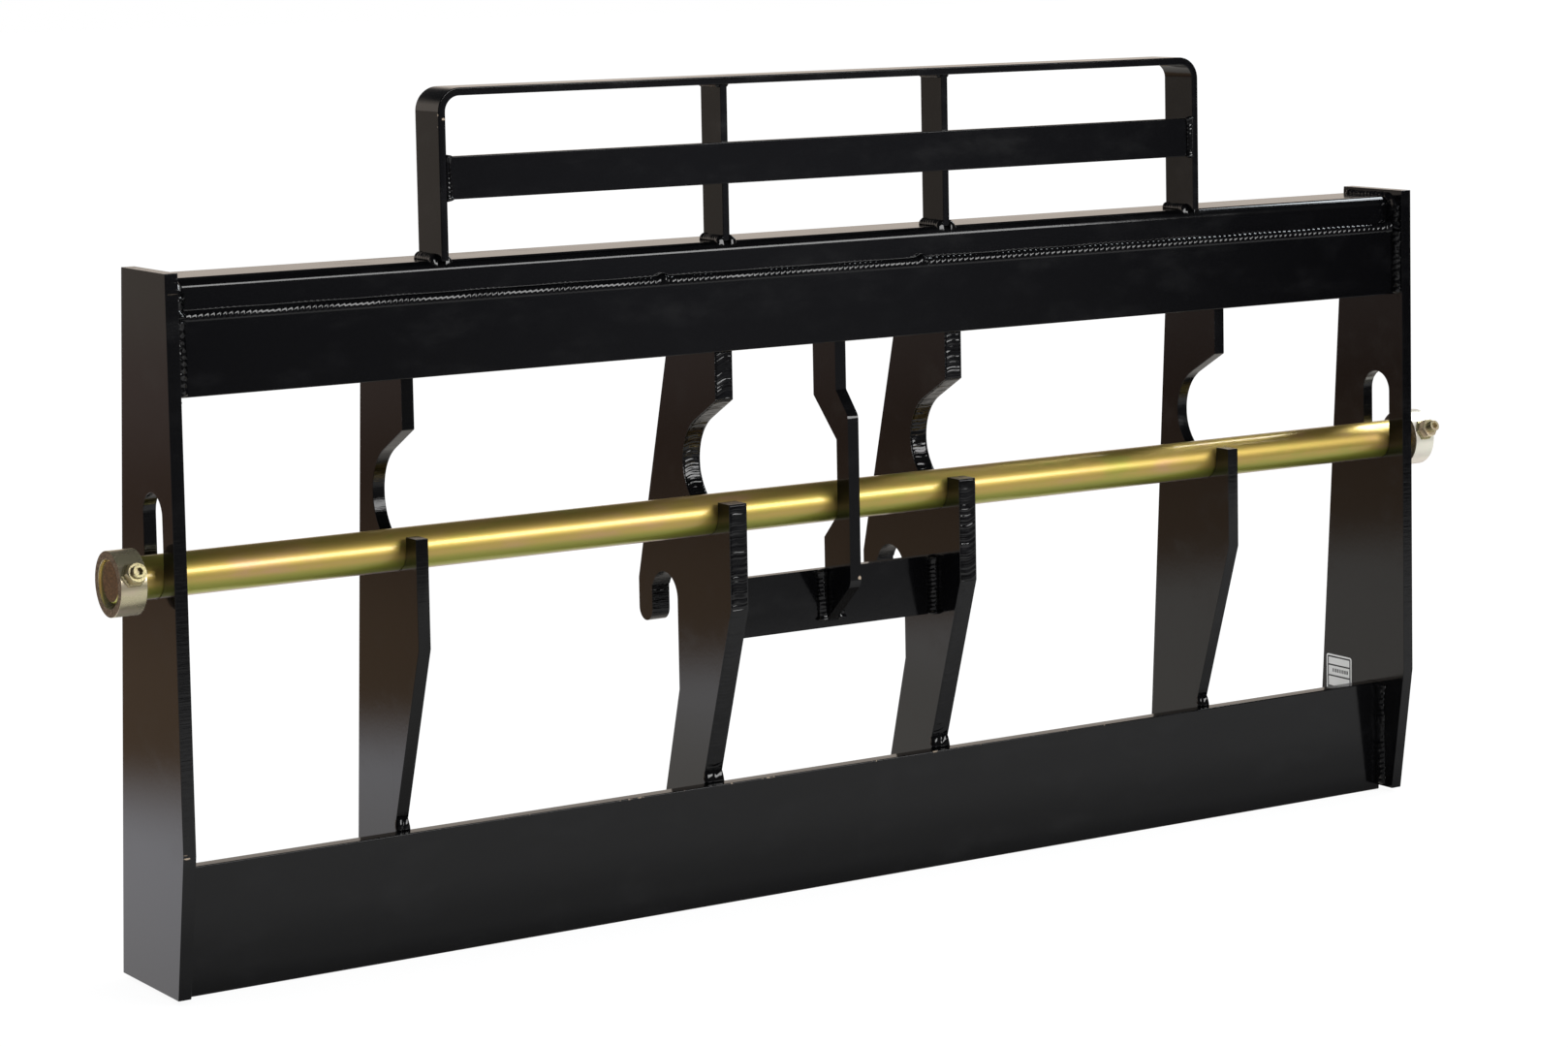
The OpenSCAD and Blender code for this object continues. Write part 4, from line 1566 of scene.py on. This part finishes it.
@dataclass
class Spatter:
    """Small drops of weld metal on the end plates' inner faces.

    Attributes:
        count: Drops on each side.
        low: Foremost and lowest place, in Y and Z.
        high: Rearmost and highest place.
        radii: Smallest and largest radius in millimetres.
        stand_off: How far a drop's middle stands off the face, as a share of its radius.
        seed: Seed of the random draws.
    """

    count: int = 26
    low: Flat = (-55 * MM, 690 * MM)
    high: Flat = (-44 * MM, 828 * MM)
    radii: Band = (0.5, 1.1)
    stand_off: float = 0.25
    seed: int = 77

    def build(self, finish: bpy.types.Material) -> None:
        """Scatters the drops.

        Args:
            finish: The paint over them.
        """
        random = np.random.default_rng(self.seed)
        mesh = bmesh.new()
        for side in Side:
            for _ in range(self.count):
                y = random.uniform(self.low[0], self.high[0])
                z = random.uniform(self.low[1], self.high[1])
                r = random.uniform(*self.radii) * MM
                matrix = Matrix.Translation((side.value * (INSIDE_X - self.stand_off * r), y, z))
                bmesh.ops.create_icosphere(mesh, subdivisions=2, radius=r, matrix=matrix)
        finish_piece(mesh, "weld_spatter", finish, Body.CARRIAGE)


@dataclass
class Label:
    """A plain label on the inner face of the right end plate.

    Attributes:
        near_y: Front edge of the paper.
        far_y: Rear edge of the paper.
        low_z: Lower edge of the paper.
        high_z: Upper edge of the paper.
        thick: Thickness of the paper.
        corner: Radius of its corners.
        paper: Colour of the paper.
        ink: Colour of the ink.
        rule: Width of a printed rule.
        margin: Distance from the paper's edge to the printed frame.
        rule_margin: Distance from the paper's edge to a rule's end.
        rows: Heights of the rules, as shares of the paper.
        word_row: Height of the row of blocks.
        word_high: Height of a block.
        word_wide: Smallest and largest width of a block in millimetres.
        word_gap: Gap between blocks.
        word_margins: Distance from the paper's edges to the row's start and end.
        ink_high: How far the frame stands out of the paper.
        ink_sunk: How far it goes into the paper.
        seed: Seed of the random draws.
    """

    near_y: float = 56.5 * MM
    far_y: float = 111.0 * MM
    low_z: float = 100 * MM
    high_z: float = 176.5 * MM
    thick: float = 0.25 * MM
    corner: float = 4 * MM
    paper: Colour = (0.92, 0.91, 0.87)
    ink: Colour = (0.012, 0.012, 0.013)
    rule: float = 2.1 * MM
    margin: float = 2.4 * MM
    rule_margin: float = 3 * MM
    rows: tuple[float, ...] = (0.80, 0.60, 0.40, 0.20)
    word_row: float = 0.705
    word_high: float = 5 * MM
    word_wide: Band = (1.6, 3.2)
    word_gap: float = 1.7 * MM
    word_margins: Band = (8 * MM, 12 * MM)
    ink_high: float = 0.06 * MM
    ink_sunk: float = 0.05 * MM
    seed: int = 5

    def build(self) -> None:
        """Builds the paper and the rules that lie on it."""
        stock = LabelStock("plain_label", shade(self.paper, 0.92), self.paper, Grain(90, 4, 0.6), 0.4)
        mesh = bmesh.new()
        rim = self._outline(0)
        near = [mesh.verts.new((INSIDE_X - self.thick, y, z)) for y, z in rim]
        far = [mesh.verts.new((INSIDE_X, y, z)) for y, z in rim]
        skin_rings(mesh, [near, far])
        close_ends(mesh, [near, far])
        finish_piece(mesh, "label_paper", stock.build(), Body.CARRIAGE, False)
        ink = LabelStock("label_ink", self.ink, shade(self.ink, 2.2), Grain(500), 0.45)
        mesh = bmesh.new()
        self._frame(mesh)
        for share in self.rows:
            self._bar(mesh, self.near_y + self.rule_margin, self.far_y - self.rule_margin, share, self.rule)
        self._words(mesh)
        finish_piece(mesh, "label_rules", ink.build(), Body.CARRIAGE, False)

    def _outline(self, inset: float) -> list[Flat]:
        """Points of the paper's rounded rectangle, moved inwards.

        Args:
            inset: How far they are moved.

        Returns:
            The points in order, in Y and Z.
        """
        low = (self.near_y + inset, self.low_z + inset)
        high = (self.far_y - inset, self.high_z - inset)
        r = max(self.corner - inset, 0.5 * MM)
        centres = ((high[0] - r, high[1] - r, 0), (low[0] + r, high[1] - r, 90),
                   (low[0] + r, low[1] + r, 180), (high[0] - r, low[1] + r, 270))
        points = []
        for y, z, start in centres:
            for turn in range(start, start + 91, 15):
                points.append((y + r * math.cos(math.radians(turn)), z + r * math.sin(math.radians(turn))))
        return points

    def _frame(self, mesh: bmesh.types.BMesh) -> None:
        """Adds the printed frame along the paper's edge.

        Args:
            mesh: The mesh that takes it.
        """
        outer, inner = self._outline(self.margin), self._outline(self.margin + self.rule)
        front, back = INSIDE_X - self.thick - self.ink_high, INSIDE_X - self.thick + self.ink_sunk
        loops = [[mesh.verts.new((x, y, z)) for y, z in line]
                 for x, line in ((front, outer), (front, inner), (back, inner), (back, outer))]
        skin_rings(mesh, loops + loops[:1])

    def _words(self, mesh: bmesh.types.BMesh) -> None:
        """Adds a row of plain blocks where the real label has print.

        Args:
            mesh: The mesh that takes them.
        """
        random = np.random.default_rng(self.seed)
        y = self.near_y + self.word_margins[0]
        while y < self.far_y - self.word_margins[1]:
            wide = random.uniform(*self.word_wide) * MM
            self._bar(mesh, y, y + wide, self.word_row, self.word_high)
            y += wide + self.word_gap

    def _bar(self, mesh: bmesh.types.BMesh, start: float, end: float, share: float,
             high: float) -> None:
        """Adds one thin bar.

        Args:
            mesh: The mesh that takes it.
            start: Where it starts in Y.
            end: Where it ends.
            share: Height of its middle, as a share of the paper.
            high: Its height.
        """
        z = self.low_z + share * (self.high_z - self.low_z)
        place = Matrix.Translation((INSIDE_X - self.thick, (start + end) / 2, z))
        size = Matrix.Diagonal((self.ink_high + self.ink_sunk, end - start, high, 1))
        bmesh.ops.create_cube(mesh, size=1, matrix=place @ size)


@dataclass(frozen=True)
class Lamp:
    """A soft rectangular lamp.

    Attributes:
        name: Its name.
        place: Where it hangs.
        aim: The point that it faces.
        size: Its width and height.
        power: Its power in watts.
        colour: Its light's colour.
    """

    name: str
    place: Point
    aim: Point
    size: Band
    power: float
    colour: Colour

    def build(self) -> None:
        """Hangs the lamp."""
        data = bpy.data.lights.new(self.name, "AREA")
        data.shape = "RECTANGLE"
        data.size, data.size_y = self.size
        data.energy = self.power
        data.color = self.colour
        lamp = bpy.data.objects.new(self.name, data)
        lamp.location = self.place
        lamp.rotation_mode = "QUATERNION"
        lamp.rotation_quaternion = (Vector(self.aim) - Vector(self.place)).to_track_quat("-Z", "Y")
        bpy.context.scene.collection.objects.link(lamp)


@dataclass
class Floor:
    """The pale floor, and the painted light and shade that gloss paint mirrors in it.

    Attributes:
        half: Half its width.
        drop: How far it lies below the ground.
        plain: Its colour in soft light.
        share: How much of its own glow the camera sees.
        glow: Strength of that glow.
        middle_x: Middle of the painted light behind the carriage.
        left: Where the painted light behind turns from its right to its left colour, in X.
        near_right: Painted light close behind, on the right.
        near_left: Painted light close behind, on the left.
        near_reach: Distances at which the close painted light starts to fade and is gone.
        reach: Distance at which both ramps end.
        far: Painted light farther behind, by distance as a share of the reach.
        ahead: Painted light in front, by distance as a share of the reach, with painted contact shade close
            to the carriage.
        split: Y at which the light behind ends and the light in front is full.
        eye_x: X of the place from which the photograph sees the light in front mirrored.
        eye_away: How far in front of the carriage that place is.
        lanes: Painted shade on the light in front, by where the carriage mirrors it, from 1 m left of mid
            width at 0 to 1 m right at 1.
        lane_from: Y at which that painted shade sets in and is full.
    """

    half: float = 40.0
    drop: float = 0.0005
    plain: Colour = (0.82, 0.82, 0.82)
    share: float = 0.86
    glow: float = 1.07
    middle_x: float = 0.2
    left: Band = (-0.45, -1.25)
    near_right: Colour = (0.62, 0.59, 0.55)
    near_left: Colour = (1.02, 1.01, 1.07)
    near_reach: Band = (1.55, 2.15)
    reach: float = 12.0
    far: Stops = ((0.0, (0.31, 0.21, 0.137)), (0.21, (0.31, 0.21, 0.137)), (0.375, (0.17, 0.11, 0.08)),
                  (0.54, (0.24, 0.177, 0.155)), (0.80, (0.29, 0.25, 0.215)))
    ahead: Stops = ((0.0, grey(0.16)), (0.010, grey(0.30)), (0.032, grey(0.46)), (0.085, grey(0.55)),
                    (0.15, (0.22, 0.22, 0.225)), (0.54, (0.165, 0.165, 0.18)),
                    (0.64, (0.14, 0.142, 0.165)), (0.74, (0.20, 0.202, 0.225)), (1.0, (0.17, 0.172, 0.195)))
    split: Band = (0.0, -0.01)
    eye_x: float = -2.712
    eye_away: float = 4.25
    lanes: Stops = ((0.02, grey(0.45)), (0.13, grey(0.58)), (0.40, grey(1.0)), (0.52, grey(0.95)),
                    (0.69, grey(0.66)), (0.80, grey(0.35)), (0.90, grey(0.10)))
    lane_from: Band = (-1.2, -2.4)

    def build(self) -> None:
        """Lays the floor as part of the stage."""
        mesh = bmesh.new()
        bmesh.ops.create_grid(mesh, x_segments=1, y_segments=1, size=self.half)
        data = bpy.data.meshes.new("floor")
        mesh.to_mesh(data)
        mesh.free()
        floor = bpy.data.objects.new("floor", data)
        floor.location = (0, 0, -self.drop)
        bpy.context.scene.collection.objects.link(floor)
        floor.data.materials.append(self._material())

    def _material(self) -> bpy.types.Material:
        """Makes the floor's material: plain in soft light, glowing for the camera, glowing with painted
        light in gloss.

        Returns:
            The new material.
        """
        material = bpy.data.materials.new("pale_floor")
        g = Graph(material)
        path = g.node("ShaderNodeLightPath")
        # In gloss the floor glows with the painted light and shade of _in_gloss, though it is no lamp; the
        # camera sees its even glow.
        shown = g.mix(path.outputs["Is Glossy Ray"], grey(self.glow), self._in_gloss(g))
        share = g.math("ADD", g.math("MULTIPLY", path.outputs["Is Camera Ray"], self.share),
                       path.outputs["Is Glossy Ray"], clamp=True)
        plain = g.node("ShaderNodeBsdfDiffuse", {"Color": self.plain})
        glow = g.node("ShaderNodeEmission", {"Color": shown, "Strength": 1.0})
        g.surface(g.node("ShaderNodeMixShader", {0: share, 1: plain.outputs[0], 2: glow.outputs[0]}))
        return material

    def _in_gloss(self, g: Graph) -> Socket:
        """Painted light and shade of the floor's glow where gloss paint shows it: bright behind, dim far
        off and in front.

        Args:
            g: The floor's nodes.

        Returns:
            The floor's colour in gloss.
        """
        x, y, _ = g.axes(g.place())
        side = g.math("SUBTRACT", x, self.middle_x)
        away = g.math("SQRT", g.math("ADD", g.math("MULTIPLY", side, side), g.math("MULTIPLY", y, y)))
        near = g.mix(g.span(x, *self.left), self.near_right, self.near_left)
        far = g.ramp(g.math("DIVIDE", away, self.reach), self.far)
        behind = g.mix(g.span(away, *self.near_reach), near, far)
        # Painted contact shade: the glow in front is darkest close to the carriage.
        ahead = g.ramp(g.math("DIVIDE", y, -self.reach), self.ahead)
        # Painted shade by which part of the carriage mirrors each spot in front, seen from the camera's
        # place.
        shrink = g.math("DIVIDE", self.eye_away, g.math("SUBTRACT", self.eye_away, y))
        lane = g.math("MULTIPLY_ADD", g.math("SUBTRACT", x, self.eye_x), shrink, self.eye_x)
        half = 0.5
        dim = g.ramp(g.math("MULTIPLY_ADD", lane, half, half, clamp=True), self.lanes)
        dim = g.mix(g.span(y, *self.lane_from), grey(1.0), dim)
        dimmed = g.node("ShaderNodeVectorMath", {0: ahead, 1: dim}, operation="MULTIPLY").outputs[0]
        return g.mix(g.span(y, *self.split), behind, dimmed)


@dataclass
class Studio:
    """Pale floor, soft light and the camera at the photograph's angle.

    Attributes:
        place: Where the camera stands.
        turn: How far it is turned to the right of straight ahead, in radians.
        tip: How far it looks down.
        roll: How far it is rolled.
        focal_px: Its focal length in the photograph's pixels.
        middle_px: The pixel straight ahead of it.
        image_px: Width and height of the photograph.
        sensor: Width of the sensor in millimetres.
        far: Farthest distance that it shows.
        sky: Light from all round, by height.
        sky_rise: Heights of a direction at which that ramp starts and ends.
        wall: Light from behind the carriage.
        wall_back: How far a direction points back where that light sets in and is full.
        wall_foot: How far up it points where the light sets in and is full.
        wall_top: How far up it points where the light ends and where it is still full.
        mirrored: What gloss paint shows of the surroundings.
        lamps: The soft lamps.
    """

    place: Point = (-2.71215, -4.25464, 1.23241)
    turn: float = 0.59657
    tip: float = 0.0895
    roll: float = 0.01526
    focal_px: float = 4154.05
    middle_px: Flat = (974.32, 281.0)
    image_px: tuple[int, int] = (1618, 1080)
    sensor: float = 36.0
    far: float = 100.0
    sky: Stops = ((0.0, (0.10, 0.09, 0.085)), (0.2, (0.05, 0.05, 0.052)), (1.0, (0.03, 0.03, 0.032)))
    sky_rise: Band = (-0.2, 1.0)
    wall: Colour = (0.68, 0.60, 0.53)
    wall_back: Band = (-0.05, 0.30)
    wall_foot: Band = (-0.05, 0.0)
    wall_top: Band = (0.42, 0.20)
    mirrored: Colour = (0.90, 0.91, 0.94)
    lamps: tuple[Lamp, ...] = (
        Lamp("front_box", (1.7, -4.0, 2.0), (0.0, 0.0, 0.6), (2.9, 1.35), 80, (1.0, 1.0, 1.0)),
        Lamp("right_box", (2.75, 0.35, 2.4), (0.7, 0.0, 0.6), (1.5, 1.15), 40, (0.90, 0.96, 1.0)))

    def build(self) -> None:
        """Makes the camera, the floor, the surroundings and the lamps."""
        self._camera()
        Floor().build()
        self._surroundings()
        for lamp in self.lamps:
            lamp.build()
        bpy.context.scene.view_settings.view_transform = "Standard"
        LOG.info("built the studio")

    def _camera(self) -> None:
        """Places the camera where the photograph was taken from."""
        data = bpy.data.cameras.new("camera")
        wide, high = self.image_px
        data.sensor_width = self.sensor
        data.lens = self.focal_px * self.sensor / wide
        data.shift_x = (wide / 2 - self.middle_px[0]) / wide
        data.shift_y = (self.middle_px[1] - high / 2) / wide
        data.clip_end = self.far
        camera = bpy.data.objects.new("camera", data)
        ahead = Vector((math.sin(self.turn) * math.cos(self.tip),
                        math.cos(self.turn) * math.cos(self.tip), -math.sin(self.tip)))
        right = Vector((math.cos(self.turn), -math.sin(self.turn), 0))
        down = ahead.cross(right)
        c, s = math.cos(self.roll), math.sin(self.roll)
        across = c * right + s * down
        fall = -s * right + c * down
        turn = Matrix((across, -fall, -ahead)).transposed().to_4x4()
        camera.matrix_world = Matrix.Translation(self.place) @ turn
        bpy.context.scene.collection.objects.link(camera)
        bpy.context.scene.camera = camera

    def _surroundings(self) -> None:
        """Lights the scene from all round; the camera sees plain white."""
        world = bpy.data.worlds.new("studio")
        bpy.context.scene.world = world
        g = Graph(world)
        _, y, z = g.axes(g.node("ShaderNodeTexCoord").outputs["Generated"])
        rise = g.ramp(g.span(z, *self.sky_rise), self.sky)
        behind = g.math("MULTIPLY", g.span(y, *self.wall_back), g.span(z, *self.wall_foot))
        behind = g.math("MULTIPLY", behind, g.span(z, *self.wall_top))
        dome = g.mix(behind, rise, self.wall)
        path = g.node("ShaderNodeLightPath")
        shown = g.mix(path.outputs["Is Glossy Ray"], self.mirrored, dome)
        shown = g.mix(path.outputs["Is Camera Ray"], shown, grey(1.0))
        sky = g.node("ShaderNodeBackground", {"Color": shown, "Strength": 1.0})
        g.surface(sky, "ShaderNodeOutputWorld")


def main() -> None:
    """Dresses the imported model, builds the fine pieces and sets the stage."""
    logging.basicConfig(level=logging.INFO, format="%(name)s: %(message)s")
    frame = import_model()
    Studio().build()
    SteelFrame().dress(frame["nodes"])
    ForkShaft().dress(frame["nodes"])
    weld_paint = GlossPaint("gloss_black_weld", roughness=0.08, peel=0.1).build()
    Welds().build(weld_paint)
    Spatter().build(weld_paint)
    CutEdges().build()
    Label().build()


if __name__ == "__main__":
    main()
